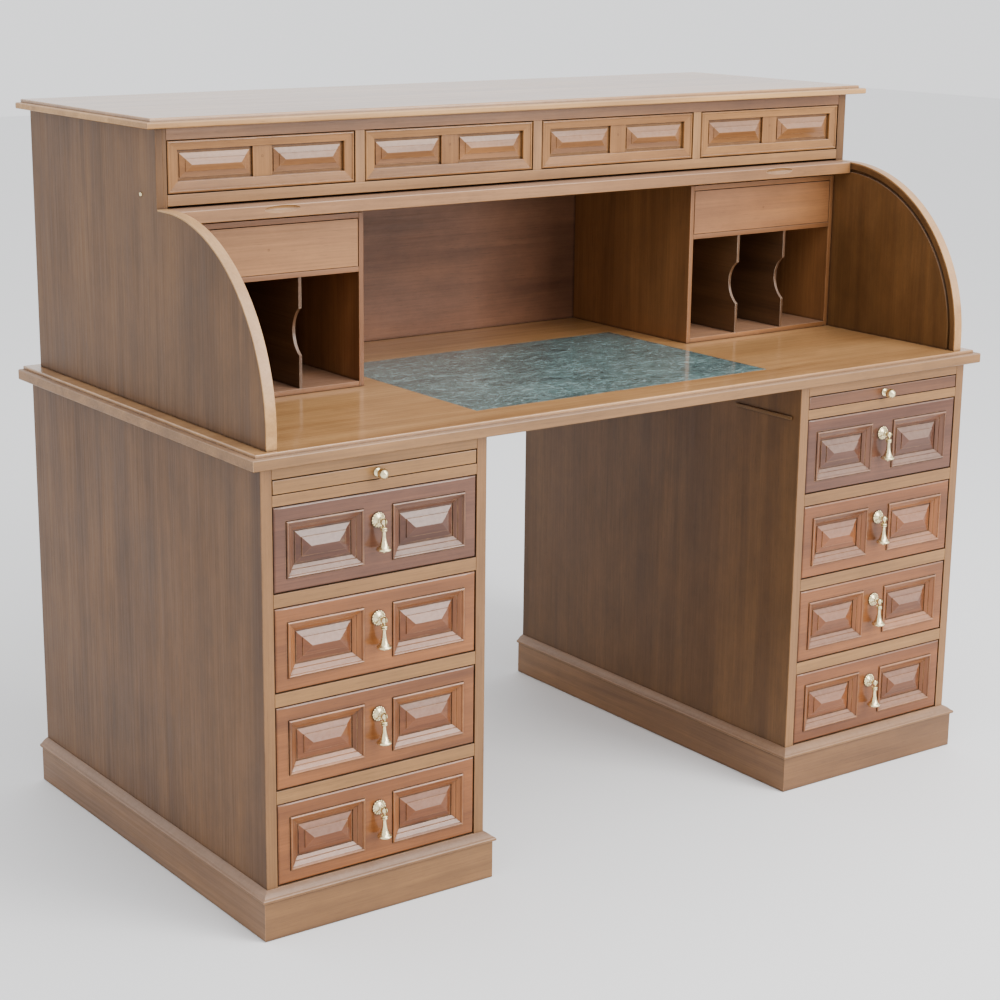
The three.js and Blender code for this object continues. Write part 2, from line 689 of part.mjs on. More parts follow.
function makeSmallDrawer({ name, sign }) {
  const low = Math.min(sign * (unitInner + unit.side), sign * (unitOuter - unit.side)) + slack;
  const high = Math.max(sign * (unitInner + unit.side), sign * (unitOuter - unit.side)) - slack;
  const zs = [shelfTop + slack / 2, unitTop - unit.board - slack];
  const frontBoardY = [unitFront, unitFront + smallDrawer.front];
  const front = block([low, high], frontBoardY, zs);
  const box = drawerBox(
    [low + smallDrawer.boxInset, high - smallDrawer.boxInset],
    [frontBoardY[1], unitBack - smallDrawer.rearSpace],
    [zs[0] + smallDrawer.boxLift, zs[1] - smallDrawer.topDrop],
    smallDrawer,
  );
  const hole = screwHoleAt((low + high) / 2, unitFront, (zs[0] + zs[1]) / 2);
  return mesh(`${name}_small_drawer`, front.add(box).subtract(hole), finishes.paleWalnut);
}

// ---------------------------------------------------------------- tambour

const tambourX = [-(hutchInner - liftRail.endGap), hutchInner - liftRail.endGap];
const liftRailY = [hutchFront - liftRail.frontSetback, hutchFront - liftRail.frontSetback + liftRail.depth];

// The rail that is pulled down, with two scooped finger grips on its front upper edge.
function makeLiftRail() {
  const base = trackZ - liftRail.belowTrack;
  const topZ = base + liftRail.thickness;
  let shape = block(tambourX, liftRailY, [base, topZ]);
  for (const { sign } of sides) {
    const geometry = new THREE.SphereGeometry(1, 20, 10);
    geometry.scale(fingerGrip.length / 2, fingerGrip.depth / 2, fingerGrip.height / 2);
    geometry.translate(sign * (tambourX[1] - fingerGrip.fromEnd), liftRailY[0], topZ);
    shape = shape.subtract(solid(geometry));
  }
  return mesh("tambour_lift_rail", shape, finishes.tambourWalnut);
}

// One stretch of the slatted curtain, bowed to the track's radius so that it closes to a true curve.
function makeTambourSection(index) {
  const start = liftRailY[1] + curtain.gap;
  const pitch = (backPanelFront - curtain.backGap - start) / curtain.sections;
  const middle = start + (index - 0.5) * pitch;
  const halfAngle = (pitch - curtain.gap) / 2 / trackRadius;
  const rise = (trackRadius * (1 - Math.cos(halfAngle))) / 2;
  const centreZ = trackZ - trackRadius + rise;
  const outer = trackRadius + curtain.thickness / 2;
  const inner = trackRadius - curtain.thickness / 2;
  const from = Math.PI / 2 - halfAngle;
  const to = Math.PI / 2 + halfAngle;
  const shape = new THREE.Shape();
  shape.absarc(middle, centreZ, outer, from, to, false);
  shape.absarc(middle, centreZ, inner, to, from, true);
  shape.closePath();
  return mesh(`tambour_section_${index}`, alongX(shape, tambourX, 10), finishes.tambourWalnut);
}

// ---------------------------------------------------------------- assembly

function makeHutch() {
  const group = new THREE.Group();
  group.add(...sides.map(makeHutchSide), makeHutchBack(), makeHutchTop());
  group.add(makeUpperCase(), makeInteriorBack());
  for (let index = 1; index <= upperCase.drawers; index++) group.add(makeUpperDrawer(index));
  for (const side of sides) group.add(makePigeonholeUnit(side), makeSmallDrawer(side));
  return group;
}

function makeTambour() {
  const group = new THREE.Group();
  group.add(makeLiftRail());
  for (let index = 1; index <= curtain.sections; index++) group.add(makeTambourSection(index));
  return group;
}

const group = new THREE.Group();
group.name = "roll_top_desk";
group.add(makeMainTop(), makeInset(), ...sides.map(makePedestal), makeHutch(), makeTambour());

export default group;
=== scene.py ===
"""Detailed looks for a walnut roll top desk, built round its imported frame.

Two drawer pedestals carry a writing top with a marble inset. Above it stands a hutch with four upper
drawers, two pigeonhole units and a tambour that rolls in quarter-round grooves. Lengths in the classes
are millimetres; meshes are metres, +Z up, front towards -Y.
"""

from __future__ import annotations

import logging
import math
import random
from dataclasses import dataclass, replace
from enum import Enum
from functools import lru_cache
from typing import Any

import bmesh
import bpy
from mathutils import Matrix, Vector


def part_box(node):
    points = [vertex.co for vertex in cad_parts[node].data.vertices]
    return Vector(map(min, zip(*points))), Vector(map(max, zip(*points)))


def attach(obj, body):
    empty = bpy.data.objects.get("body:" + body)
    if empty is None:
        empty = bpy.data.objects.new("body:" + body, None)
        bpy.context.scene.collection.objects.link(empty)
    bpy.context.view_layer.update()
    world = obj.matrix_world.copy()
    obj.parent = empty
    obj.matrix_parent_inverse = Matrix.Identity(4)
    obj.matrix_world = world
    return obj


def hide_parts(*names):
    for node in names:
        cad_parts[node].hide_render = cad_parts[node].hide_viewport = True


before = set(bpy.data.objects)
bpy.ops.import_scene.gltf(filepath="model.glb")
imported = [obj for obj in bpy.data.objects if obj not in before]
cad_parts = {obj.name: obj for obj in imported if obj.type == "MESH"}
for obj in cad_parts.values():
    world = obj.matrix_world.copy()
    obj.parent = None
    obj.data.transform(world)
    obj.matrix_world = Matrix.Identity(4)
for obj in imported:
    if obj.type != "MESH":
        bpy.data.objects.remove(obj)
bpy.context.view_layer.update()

log = logging.getLogger("roll_top_desk")
luck = random.Random(41)

MM = 0.001
Colour = tuple[float, float, float]
Corner = tuple[float, float]
Profile = list[tuple[float, float]]


class Axis(Enum):
    """The direction in which a board's fibres run."""

    X = 0
    Y = 1
    Z = 2


class Facing(Enum):
    """The way a turned piece's axis points from its base."""

    UP = 0
    FRONT = 1
    OUTWARD = 2


class Plane(Enum):
    """The plane that a moulding is wrapped round a rectangle in."""

    FRONT = 0
    PLAN = 1


class Side(Enum):
    """One half of the desk, with the sign of its X."""

    LEFT = -1
    RIGHT = 1

    @property
    def word(self) -> str:
        """The side's name as the frame spells it."""
        return self.name.lower()


def rgb(red: int, green: int, blue: int) -> tuple[float, float, float, float]:
    """Turns a display colour into a linear one.

    Args:
        red: Red from 0 to 255.
        green: Green from 0 to 255.
        blue: Blue from 0 to 255.

    Returns:
        The linear colour with full alpha.
    """
    levels = [channel / 255 for channel in (red, green, blue)]
    linear = [v / 12.92 if v <= 0.04045 else ((v + 0.055) / 1.055) ** 2.4 for v in levels]
    return (linear[0], linear[1], linear[2], 1.0)


# ------------------------------------------------------------------------------- node graphs


class Graph:
    """Adds nodes to a node tree and joins them in one call."""

    def __init__(self, tree: bpy.types.NodeTree) -> None:
        """Keeps the tree and clears it.

        Args:
            tree: The node tree to fill.
        """
        self.tree = tree
        tree.nodes.clear()

    def node(self, kind: str, sockets: dict[Any, Any] | None = None, **settings: Any) -> bpy.types.Node:
        """Adds one node.

        Args:
            kind: The node's type, without its ShaderNode prefix.
            sockets: Input values or the output sockets that feed them, by name or number.
            settings: Properties of the node.

        Returns:
            The node.
        """
        made = self.tree.nodes.new("ShaderNode" + kind)
        for name, value in settings.items():
            setattr(made, name, value)
        for key, value in (sockets or {}).items():
            if isinstance(value, bpy.types.NodeSocket):
                self.tree.links.new(value, made.inputs[key])
            else:
                made.inputs[key].default_value = value
        return made

    def math(self, operation: str, first: Any, second: Any = 0.0, third: Any = 0.0) -> bpy.types.NodeSocket:
        """Adds a Math node.

        Args:
            operation: The Math node's operation.
            first: First value or socket.
            second: Second value or socket.
            third: Third value or socket, where the operation has one.

        Returns:
            The result's socket.
        """
        return self.node("Math", {0: first, 1: second, 2: third}, operation=operation).outputs[0]

    def mix(self, amount: Any, first: Any, second: Any, blend: str = "MIX") -> bpy.types.NodeSocket:
        """Mixes two colours.

        Args:
            amount: Share of the second colour, as a value or a socket.
            first: First colour or socket.
            second: Second colour or socket.
            blend: The blend type.

        Returns:
            The mixed colour's socket.
        """
        sockets = {"Factor": amount, 6: first, 7: second}
        return self.node("Mix", sockets, data_type="RGBA", blend_type=blend).outputs[2]

    def ramp(self, factor: Any, low: float, high: float) -> bpy.types.NodeSocket:
        """Stretches a stretch of values over 0 to 1.

        Args:
            factor: The socket to stretch.
            low: The value that becomes 0.
            high: The value that becomes 1.

        Returns:
            The stretched value's socket.
        """
        sockets = {"Value": factor, "From Min": low, "From Max": high}
        return self.node("MapRange", sockets, clamp=True).outputs[0]

    def noise(self, vector: Any, scale: Any, detail: float = 3, roughness: float = 0.5, twist: float = 0) -> Any:
        """Adds a noise texture and gives its value's socket."""
        sockets = {"Vector": vector, "Scale": scale, "Detail": detail, "Roughness": roughness, "Distortion": twist}
        return self.node("TexNoise", sockets).outputs["Fac"]


def new_group(name: str, inputs: dict[str, tuple[str, Any]], outputs: list[str]) -> tuple[Graph, Any, Any]:
    """Starts a shader node group.

    Args:
        name: The group's name.
        inputs: Each input's socket kind and default value, by name.
        outputs: The float outputs' names.

    Returns:
        The group's graph, its input node and its output node.
    """
    tree = bpy.data.node_groups.new(name, "ShaderNodeTree")
    for label, (kind, value) in inputs.items():
        socket = tree.interface.new_socket(label, in_out="INPUT", socket_type="NodeSocket" + kind)
        if value is not None:
            socket.default_value = value
    for label in outputs:
        tree.interface.new_socket(label, in_out="OUTPUT", socket_type="NodeSocketFloat")
    graph = Graph(tree)
    return graph, tree.nodes.new("NodeGroupInput"), tree.nodes.new("NodeGroupOutput")


@lru_cache(maxsize=None)
def walnut_grain() -> bpy.types.NodeTree:
    """Builds the group that draws walnut's figure, fibre and pores along a board.

    Returns:
        The node group, whose Grain input runs along the fibres on its X.
    """
    inputs = {"Grain": ("Vector", None), "Figure Scale": ("Float", 20.0), "Fibre Scale": ("Float", 330.0)}
    graph, given, result = new_group("walnut_grain", inputs, ["Figure", "Fibre", "Pores", "Mottle", "Height"])
    grain = given.outputs["Grain"]

    def stretched(along: float) -> Any:
        """Gives the grain's place, drawn out along the fibres."""
        return graph.node("Mapping", {"Vector": grain, "Scale": (along, 1.0, 1.0)}).outputs[0]

    broad = graph.noise(stretched(0.055), given.outputs["Figure Scale"], 4, 0.55, 0.9)
    cloud = graph.noise(stretched(0.35), 5.0, 2)
    figure = graph.ramp(graph.math("ADD", broad, graph.math("MULTIPLY", cloud, 0.55)), 0.52, 1.02)
    fibre = graph.ramp(graph.noise(stretched(0.014), given.outputs["Fibre Scale"], 4, 0.62), 0.3, 0.7)
    pores = graph.ramp(graph.noise(stretched(0.03), 1150.0, 2, 0.6), 0.6, 0.74)
    mottle = graph.ramp(graph.noise(stretched(0.6), 16.0, 7, 0.72), 0.3, 0.7)
    relief = graph.math("SUBTRACT", graph.math("MULTIPLY", fibre, 0.4), pores)
    outputs = {"Figure": figure, "Fibre": fibre, "Pores": pores, "Mottle": mottle, "Height": relief}
    for label, socket in outputs.items():
        graph.tree.links.new(socket, result.inputs[label])
    return graph.tree


@lru_cache(maxsize=None)
def edge_wear() -> bpy.types.NodeTree:
    """Builds the group that finds rubbed edges, broken up by noise.

    Returns:
        The node group, with a Radius input in metres and a Mask output.
    """
    inputs = {"Radius": ("Float", 0.0015), "Vector": ("Vector", None)}
    graph, given, result = new_group("edge_wear", inputs, ["Mask"])
    rounded = graph.node("Bevel", {"Radius": given.outputs["Radius"]}, samples=4).outputs[0]
    flat = graph.node("NewGeometry").outputs["Normal"]
    turn = graph.node("VectorMath", {0: rounded, 1: flat}, operation="DOT_PRODUCT").outputs["Value"]
    edge = graph.ramp(graph.math("SUBTRACT", 1.0, turn), 0.01, 0.16)
    patches = graph.ramp(graph.noise(given.outputs["Vector"], 34.0, 3), 0.32, 0.66)
    graph.tree.links.new(graph.math("MULTIPLY", edge, patches), result.inputs["Mask"])
    return graph.tree


@lru_cache(maxsize=None)
def grime_and_shade() -> bpy.types.NodeTree:
    """Builds the group that finds corners and grooves by ambient occlusion, which the walnut finishes darken as painted
    shade and the brass darkens as tarnish in its hollows.

    Returns:
        The node group, with a Reach input in metres and a Mask output.
    """
    inputs = {"Reach": ("Float", 0.005), "Vector": ("Vector", None)}
    graph, given, result = new_group("grime_and_shade", inputs, ["Mask"])
    open_sky = graph.node("AmbientOcclusion", {"Distance": given.outputs["Reach"]}, samples=4).outputs["AO"]
    hollow = graph.math("SUBTRACT", 1.0, graph.ramp(open_sky, 0.45, 0.96))
    patches = graph.ramp(graph.noise(given.outputs["Vector"], 55.0, 4, 0.6), 0.2, 0.6)
    uneven = graph.math("MULTIPLY", hollow, graph.math("MULTIPLY_ADD", patches, 0.35, 0.65))
    graph.tree.links.new(uneven, result.inputs["Mask"])
    return graph.tree


@lru_cache(maxsize=None)
def upward_highlight() -> bpy.types.NodeTree:
    """Builds the group that finds slopes turned up to the light, which the walnut finishes paint paler as a painted
    highlight standing in for the sky's reflection.

    Returns:
        The node group, with a Mask output.
    """
    graph, given, result = new_group("upward_highlight", {"Vector": ("Vector", None)}, ["Mask"])
    normal = graph.node("NewGeometry").outputs["Normal"]
    up = graph.node("SeparateXYZ", {0: normal}).outputs["Z"]
    lit = graph.ramp(up, 0.1, 0.3)
    patches = graph.ramp(graph.noise(given.outputs["Vector"], 130.0, 5, 0.7), 0.25, 0.62)
    uneven = graph.math("MULTIPLY", lit, graph.math("MULTIPLY_ADD", patches, 0.4, 0.6))
    graph.tree.links.new(uneven, result.inputs["Mask"])
    return graph.tree


@dataclass(frozen=True)
class Walnut:
    """A walnut finish: its colours, lacquer and the slot that it belongs to."""

    name: str
    slot: str
    light: tuple[int, int, int]
    dark: tuple[int, int, int]
    worn: tuple[int, int, int] = (205, 152, 100)
    # Pale colour of the painted highlight on upward slopes.
    highlight_colour: tuple[int, int, int] = (212, 186, 170)
    roughness: float = 0.44
    shine: float = 0.35
    lacquer: float = 0.18
    lacquer_roughness: float = 0.2
    figure_scale: float = 20.0
    tone_spread: float = 0.16
    fibre_depth: float = 0.3
    mottle_depth: float = 0.22
    wear: float = 0.5
    # Strength of that painted highlight.
    painted_highlight: float = 0.15
    # Strength of the painted shade darkening corners, grooves and gaps.
    crevice_shade: float = 0.75

    def material(self) -> bpy.types.Material:
        """Builds the finish's material.

        Returns:
            The material.
        """
        made, graph = new_material(self.name)
        along = graph.node("Attribute", attribute_name="grain").outputs["Vector"]
        tone = graph.node("Attribute", attribute_name="tone").outputs["Fac"]
        place = graph.node("TexCoord").outputs["Object"]
        grain = graph.node("Group", node_tree=walnut_grain())
        graph.tree.links.new(along, grain.inputs["Grain"])
        grain.inputs["Figure Scale"].default_value = self.figure_scale
        wood = graph.mix(grain.outputs["Figure"], rgb(*self.dark), rgb(*self.light))
        streak = graph.math("MULTIPLY", grain.outputs["Fibre"], self.fibre_depth)
        wood = graph.mix(streak, wood, rgb(*[int(c * 0.62) for c in self.dark]))
        wood = graph.mix(graph.math("MULTIPLY", grain.outputs["Pores"], 0.45), wood, rgb(44, 24, 13))
        value = graph.math("MULTIPLY_ADD", tone, self.tone_spread, 1 - (self.tone_spread + self.mottle_depth) / 2)
        value = graph.math("MULTIPLY_ADD", grain.outputs["Mottle"], self.mottle_depth, value)
        hue = graph.math("MULTIPLY_ADD", tone, 0.004, 0.503)
        wood = graph.node("HueSaturation", {"Hue": hue, "Value": value, "Color": wood}).outputs[0]
        rubbed = graph.node("Group", {"Vector": place}, node_tree=edge_wear()).outputs["Mask"]
        wood = graph.mix(graph.math("MULTIPLY", rubbed, self.wear), wood, rgb(*self.worn))
        # Painted highlight: slopes turned up are mixed towards a pale colour in place of the sky's reflection.
        highlit = graph.node("Group", {"Vector": place}, node_tree=upward_highlight()).outputs["Mask"]
        wood = graph.mix(graph.math("MULTIPLY", highlit, self.painted_highlight), wood, rgb(*self.highlight_colour))
        # Painted shade: the occlusion mask darkens corners, grooves and the gaps between parts towards near-black
        # brown, and roughens them.
        shade_and_grime = graph.node("Group", {"Vector": place}, node_tree=grime_and_shade()).outputs["Mask"]
        wood = graph.mix(graph.math("MULTIPLY", shade_and_grime, self.crevice_shade), wood, rgb(34, 17, 9))
        dull = graph.math("MULTIPLY", grain.outputs["Fibre"], 0.16)
        smears = graph.math("MULTIPLY_ADD", graph.noise(place, 6.0, 3), 0.14, self.roughness - 0.14)
        rough = graph.math("MULTIPLY_ADD", shade_and_grime, 0.3, graph.math("ADD", dull, smears))
        bump = graph.node("Bump", {"Height": grain.outputs["Height"], "Strength": 0.16, "Distance": 0.0004})
        shader = {
            "Base Color": wood,
            "Roughness": rough,
            "Normal": bump.outputs[0],
            "Specular IOR Level": self.shine,
            "Coat Weight": self.lacquer,
            "Coat Roughness": self.lacquer_roughness,
        }
        graph.shade(shader)
        return made


@dataclass(frozen=True)
class Marble:
    """Polished green marble with pale broken veins."""

    name: str = "green_marble"
    slot: str = "marble_inset"

    def material(self) -> bpy.types.Material:
        """Builds the marble's material.

        Returns:
            The material.
        """
        made, graph = new_material(self.name)
        place = graph.node("TexCoord").outputs["Object"]
        drift = graph.node("TexNoise", {"Vector": place, "Scale": 9.0, "Detail": 6.0}).outputs["Color"]
        bent = graph.node("VectorMath", {0: drift, 3: 0.07}, operation="SCALE").outputs[0]
        moved = graph.node("VectorMath", {0: place, 1: bent}, operation="ADD").outputs[0]
        turned = graph.node("Mapping", {"Vector": moved, "Rotation": (0, 0, 0.7), "Scale": (0.7, 1.6, 1.0)})
        stone = turned.outputs[0]
        cloud = graph.ramp(graph.noise(stone, 13.0, 9, 0.74, 1.1), 0.36, 0.64)
        body = graph.mix(cloud, rgb(26, 44, 44), rgb(100, 130, 128))
        grit = graph.ramp(graph.noise(stone, 85.0, 8, 0.78, 0.8), 0.44, 0.68)
        body = graph.mix(graph.math("MULTIPLY", grit, 0.8), body, rgb(160, 184, 182))
        specks = graph.ramp(graph.noise(stone, 210.0, 5, 0.7), 0.52, 0.66)
        body = graph.mix(graph.math("MULTIPLY", specks, 0.6), body, rgb(24, 38, 44))
        cells = graph.node("TexVoronoi", {"Vector": stone, "Scale": 26.0}, feature="DISTANCE_TO_EDGE")
        crack = graph.ramp(cells.outputs["Distance"], 0.05, 0.0)
        veins = graph.math("MULTIPLY", crack, graph.ramp(graph.noise(stone, 12.0, 4), 0.46, 0.64))
        body = graph.mix(graph.math("MULTIPLY", veins, 0.55), body, rgb(168, 190, 188))
        rough = graph.math("MULTIPLY_ADD", grit, 0.08, 0.16)
        graph.shade({"Base Color": body, "Roughness": rough, "Coat Weight": 0.5, "Coat Roughness": 0.06})
        return made


@dataclass(frozen=True)
class Brass:
    """Pale polished brass, dulled in its hollows."""

    name: str = "pale_brass"
    slot: str = "brass"

    def material(self) -> bpy.types.Material:
        """Builds the brass's material.

        Returns:
            The material.
        """
        made, graph = new_material(self.name)
        place = graph.node("TexCoord").outputs["Object"]
        dull = graph.ramp(graph.noise(place, 210.0, 4, 0.6), 0.42, 0.72)
        shade_and_grime = graph.node("Group", {"Vector": place}, node_tree=grime_and_shade())
        shade_and_grime.inputs["Reach"].default_value = 0.0022
        colour = graph.mix(graph.math("MULTIPLY", dull, 0.35), rgb(236, 222, 178), rgb(190, 166, 112))
        colour = graph.mix(graph.math("MULTIPLY", shade_and_grime.outputs["Mask"], 0.9), colour, rgb(74, 52, 24))
        rough = graph.math("MULTIPLY_ADD", dull, 0.16, 0.2)
        scratch = graph.node("Bump", {"Height": graph.noise(place, 900.0, 3), "Strength": 0.05, "Distance": 0.0002})
        graph.shade({"Base Color": colour, "Roughness": rough, "Metallic": 1.0, "Normal": scratch.outputs[0]})
        return made


@dataclass(frozen=True)
class Canvas:
    """The unbleached canvas glued behind the tambour's slats."""

    name: str = "tambour_canvas"
    slot: str = "walnut_tambour"

    def material(self) -> bpy.types.Material:
        """Builds the canvas's material.

        Returns:
            The material.
        """
        made, graph = new_material(self.name)
        along = graph.node("Attribute", attribute_name="grain").outputs["Vector"]
        warp = graph.node("TexWave", {"Vector": along, "Scale": 240.0}, bands_direction="X").outputs["Fac"]
        weft = graph.node("TexWave", {"Vector": along, "Scale": 240.0}, bands_direction="Y").outputs["Fac"]
        weave = graph.math("MAXIMUM", warp, weft)
        colour = graph.mix(weave, rgb(120, 104, 82), rgb(186, 172, 146))
        bump = graph.node("Bump", {"Height": weave, "Strength": 0.4, "Distance": 0.0004})
        graph.shade({"Base Color": colour, "Roughness": 0.92, "Normal": bump.outputs[0]})
        return made


@dataclass(frozen=True)
class Steel:
    """Dull zinc-plated screw steel."""

    name: str = "screw_steel"
    slot: str = "brass"

    def material(self) -> bpy.types.Material:
        """Builds the steel's material.

        Returns:
            The material.
        """
        made, graph = new_material(self.name)
        place = graph.node("TexCoord").outputs["Object"]
        spots = graph.ramp(graph.noise(place, 300.0, 3), 0.4, 0.7)
        colour = graph.mix(spots, rgb(150, 148, 142), rgb(96, 88, 78))
        rough = graph.math("ADD", graph.math("MULTIPLY", spots, 0.2), 0.35)
        graph.shade({"Base Color": colour, "Roughness": rough, "Metallic": 1.0})
        return made


Finish = Walnut | Marble | Brass | Canvas | Steel


def new_material(name: str) -> tuple[bpy.types.Material, "ShaderGraph"]:
    """Starts a material with an empty node tree.

    Args:
        name: The material's name.

    Returns:
        The material and its graph.
    """
    made = bpy.data.materials.new(name)
    made.use_nodes = True
    return made, ShaderGraph(made.node_tree)


class ShaderGraph(Graph):
    """A material's own graph, which ends in a Principled shader."""

    def shade(self, sockets: dict[str, Any]) -> None:
        """Adds the Principled shader and the material output.

        Args:
            sockets: The shader's inputs by name, as values or sockets.
        """
        shader = self.node("BsdfPrincipled", sockets)
        self.node("OutputMaterial", {"Surface": shader.outputs[0]})


@lru_cache(maxsize=None)
def material_of(finish: Finish) -> bpy.types.Material:
    """Builds a finish's material once and keeps it."""
    return finish.material()


TOP_WALNUT = Walnut(
    "top_walnut",
    "walnut_top",
    (200, 148, 98),
    (156, 108, 66),
    roughness=0.38,
    shine=0.4,
    lacquer=0.8,
    lacquer_roughness=0.14,
    painted_highlight=0.0,
)
EDGE_WALNUT = Walnut("edge_walnut", "walnut_top", (146, 102, 62), (108, 72, 41), worn=(222, 182, 136), wear=0.8)
PALE_EDGE_WALNUT = replace(EDGE_WALNUT, name="pale_edge_walnut", light=(196, 146, 90), dark=(156, 108, 60))
PANEL_WALNUT = Walnut(
    "panel_walnut",
    "walnut_panel",
    (110, 74, 42),
    (80, 51, 28),
    shine=0.25,
    lacquer=0.06,
    tone_spread=0.08,
    fibre_depth=0.2,
    mottle_depth=0.36,
    wear=0.35,
)
BACK_WALNUT = replace(PANEL_WALNUT, name="back_walnut", slot="walnut_back", light=(122, 84, 52), lacquer=0.0)
RAIL_WALNUT = Walnut("rail_walnut", "walnut_rail", (152, 106, 60), (114, 75, 40))
DRAWER_WALNUT = Walnut(
    "drawer_walnut",
    "walnut_drawer",
    (142, 80, 38),
    (94, 49, 22),
    roughness=0.5,
    shine=0.15,
    lacquer=0.55,
    lacquer_roughness=0.14,
    wear=0.7,
    painted_highlight=0.2,
    crevice_shade=0.95,
)
DARK_DRAWER_WALNUT = replace(DRAWER_WALNUT, name="dark_drawer_walnut", light=(110, 66, 46), dark=(72, 40, 28))
DARK_RAIL_WALNUT = replace(RAIL_WALNUT, name="dark_rail_walnut", light=(108, 64, 40), dark=(74, 41, 25))
INTERIOR_WALNUT = Walnut("interior_walnut", "walnut_interior", (146, 94, 56), (108, 66, 38), lacquer=0.1)
BOX_WOOD = Walnut(
    "drawer_box_wood", "walnut_drawer", (190, 150, 104), (158, 118, 76), worn=(214, 184, 146), lacquer=0.0, painted_highlight=0
)
TAMBOUR_WALNUT = Walnut(
    "tambour_walnut", "walnut_tambour", (166, 116, 72), (124, 82, 48), worn=(222, 182, 136), painted_highlight=0.25
)
UPPER_DRAWER_WALNUT = replace(DRAWER_WALNUT, name="upper_drawer_walnut", light=(160, 108, 60), dark=(116, 73, 38))
PLINTH_WALNUT = replace(RAIL_WALNUT, name="plinth_walnut", light=(134, 92, 55), dark=(98, 64, 38))
CASE_WALNUT = replace(RAIL_WALNUT, name="case_walnut", light=(160, 112, 66), dark=(124, 82, 46))
INNER_BACK_WALNUT = replace(PANEL_WALNUT, name="inner_back_walnut", light=(122, 80, 57), dark=(90, 56, 40))
SMALL_FRONT_WALNUT = replace(INTERIOR_WALNUT, name="small_front_walnut", light=(166, 112, 70), dark=(130, 83, 49))
DIVIDER_WALNUT = replace(
    INTERIOR_WALNUT, name="divider_walnut", light=(104, 70, 44), dark=(72, 46, 28), worn=(196, 176, 152), wear=1.0
)
# Near-black colour for the shallow screw-hole cups: painted shade in place of the hole's depth.
HOLE_SHADE = Walnut("painted_hole_shade", "walnut_drawer", (42, 26, 18), (24, 15, 10), lacquer=0.0, roughness=0.9, wear=0.0)
MARBLE = Marble()
BRASS = Brass()
CANVAS = Canvas()
STEEL = Steel()


# ------------------------------------------------------------------------------- shells


@dataclass(frozen=True)
class Block:
    """An upright box between two corners, in metres."""

    low: Vector
    high: Vector

    @classmethod
    def of(cls, node: str) -> "Block":
        """The box of one frame node."""
        low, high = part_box(node)
        return cls(low, high)

    @property
    def centre(self) -> Vector:
        """The middle of the box."""
        return (self.low + self.high) / 2

    @property
    def size(self) -> Vector:
        """The box's length along each axis."""
        return self.high - self.low

    def cut(self, **spans: tuple[float, float]) -> "Block":
        """Gives a copy with new spans on some axes.

        Args:
            spans: The low and high value for x, y or z, in metres.

        Returns:
            The new box.
        """
        low, high = self.low.copy(), self.high.copy()
        for name, (first, second) in spans.items():
            index = "xyz".index(name)
            low[index], high[index] = min(first, second), max(first, second)
        return Block(low, high)


def faces_towards(shell: bmesh.types.BMesh, direction: Vector, limit: float = 0.9) -> list[Any]:
    """Lists the faces whose normal points along a direction."""
    shell.normal_update()
    return [face for face in shell.faces if face.normal.dot(direction) > limit]


def bevel(shell: bmesh.types.BMesh, edges: list[Any], radius: float, segments: int = 2) -> None:
    """Rounds edges.

    Args:
        shell: The mesh.
        edges: The edges to round.
        radius: The bevel's width in millimetres.
        segments: How many steps the round has.
    """
    bmesh.ops.bevel(
        shell,
        geom=edges,
        offset=radius * MM,
        offset_type="OFFSET",
        segments=segments,
        profile=0.5,
        affect="EDGES",
        clamp_overlap=True,
        material=-1,
    )


def slice_at(shell: bmesh.types.BMesh, point: Vector, normal: Vector, clear: bool = False) -> list[Any]:
    """Cuts every face that a plane crosses.

    Args:
        shell: The mesh.
        point: A point on the plane, in metres.
        normal: The plane's normal.
        clear: Takes off what lies on the normal's side.

    Returns:
        The edges that the cut made.
    """
    geometry = shell.verts[:] + shell.edges[:] + shell.faces[:]
    cut = bmesh.ops.bisect_plane(shell, geom=geometry, plane_co=point, plane_no=normal, clear_outer=clear)
    return [item for item in cut["geom_cut"] if isinstance(item, bmesh.types.BMEdge)]


def board(block: Block, radius: float = 0.7, segments: int = 1) -> bmesh.types.BMesh:
    """Makes a board with eased edges.

    Args:
        block: The board's box.
        radius: How far the edges are eased, in millimetres.
        segments: How many steps the easing has.

    Returns:
        The board's mesh.
    """
    shell = bmesh.new()
    place = Matrix.Translation(block.centre) @ Matrix.Diagonal((*block.size, 1.0))
    bmesh.ops.create_cube(shell, size=1.0, matrix=place)
    if radius > 0:
        bevel(shell, shell.edges[:], radius, segments)
    return shell


def revolve(profile: Profile, origin: Vector, facing: Facing, steps: int = 32) -> bmesh.types.BMesh:
    """Turns a profile round an axis.

    Args:
        profile: Points as radius and height above the origin, in millimetres.
        origin: Where the axis starts, in metres.
        facing: The way the axis points.
        steps: How many steps the full turn has.

    Returns:
        The turned mesh.
    """
    axis = {Facing.UP: Vector((0, 0, 1)), Facing.FRONT: Vector((0, -1, 0)), Facing.OUTWARD: Vector((1, 0, 0))}[facing]
    across = Vector((0, 1, 0)) if facing is Facing.OUTWARD else Vector((1, 0, 0))
    shell = bmesh.new()
    points = [origin + (across * radius + axis * height) * MM for radius, height in profile]
    chain = [shell.verts.new(points[0])]
    for point in points[1:]:
        made = bmesh.ops.extrude_vert_indiv(shell, verts=[chain[-1]])["verts"][0]
        made.co = point
        chain.append(made)
    bmesh.ops.spin(
        shell,
        geom=shell.verts[:] + shell.edges[:],
        cent=origin,
        axis=axis,
        angle=math.tau,
        steps=steps,
        use_merge=True,
    )
    bmesh.ops.remove_doubles(shell, verts=shell.verts[:], dist=1e-6)
    bmesh.ops.recalc_face_normals(shell, faces=shell.faces[:])
    return shell


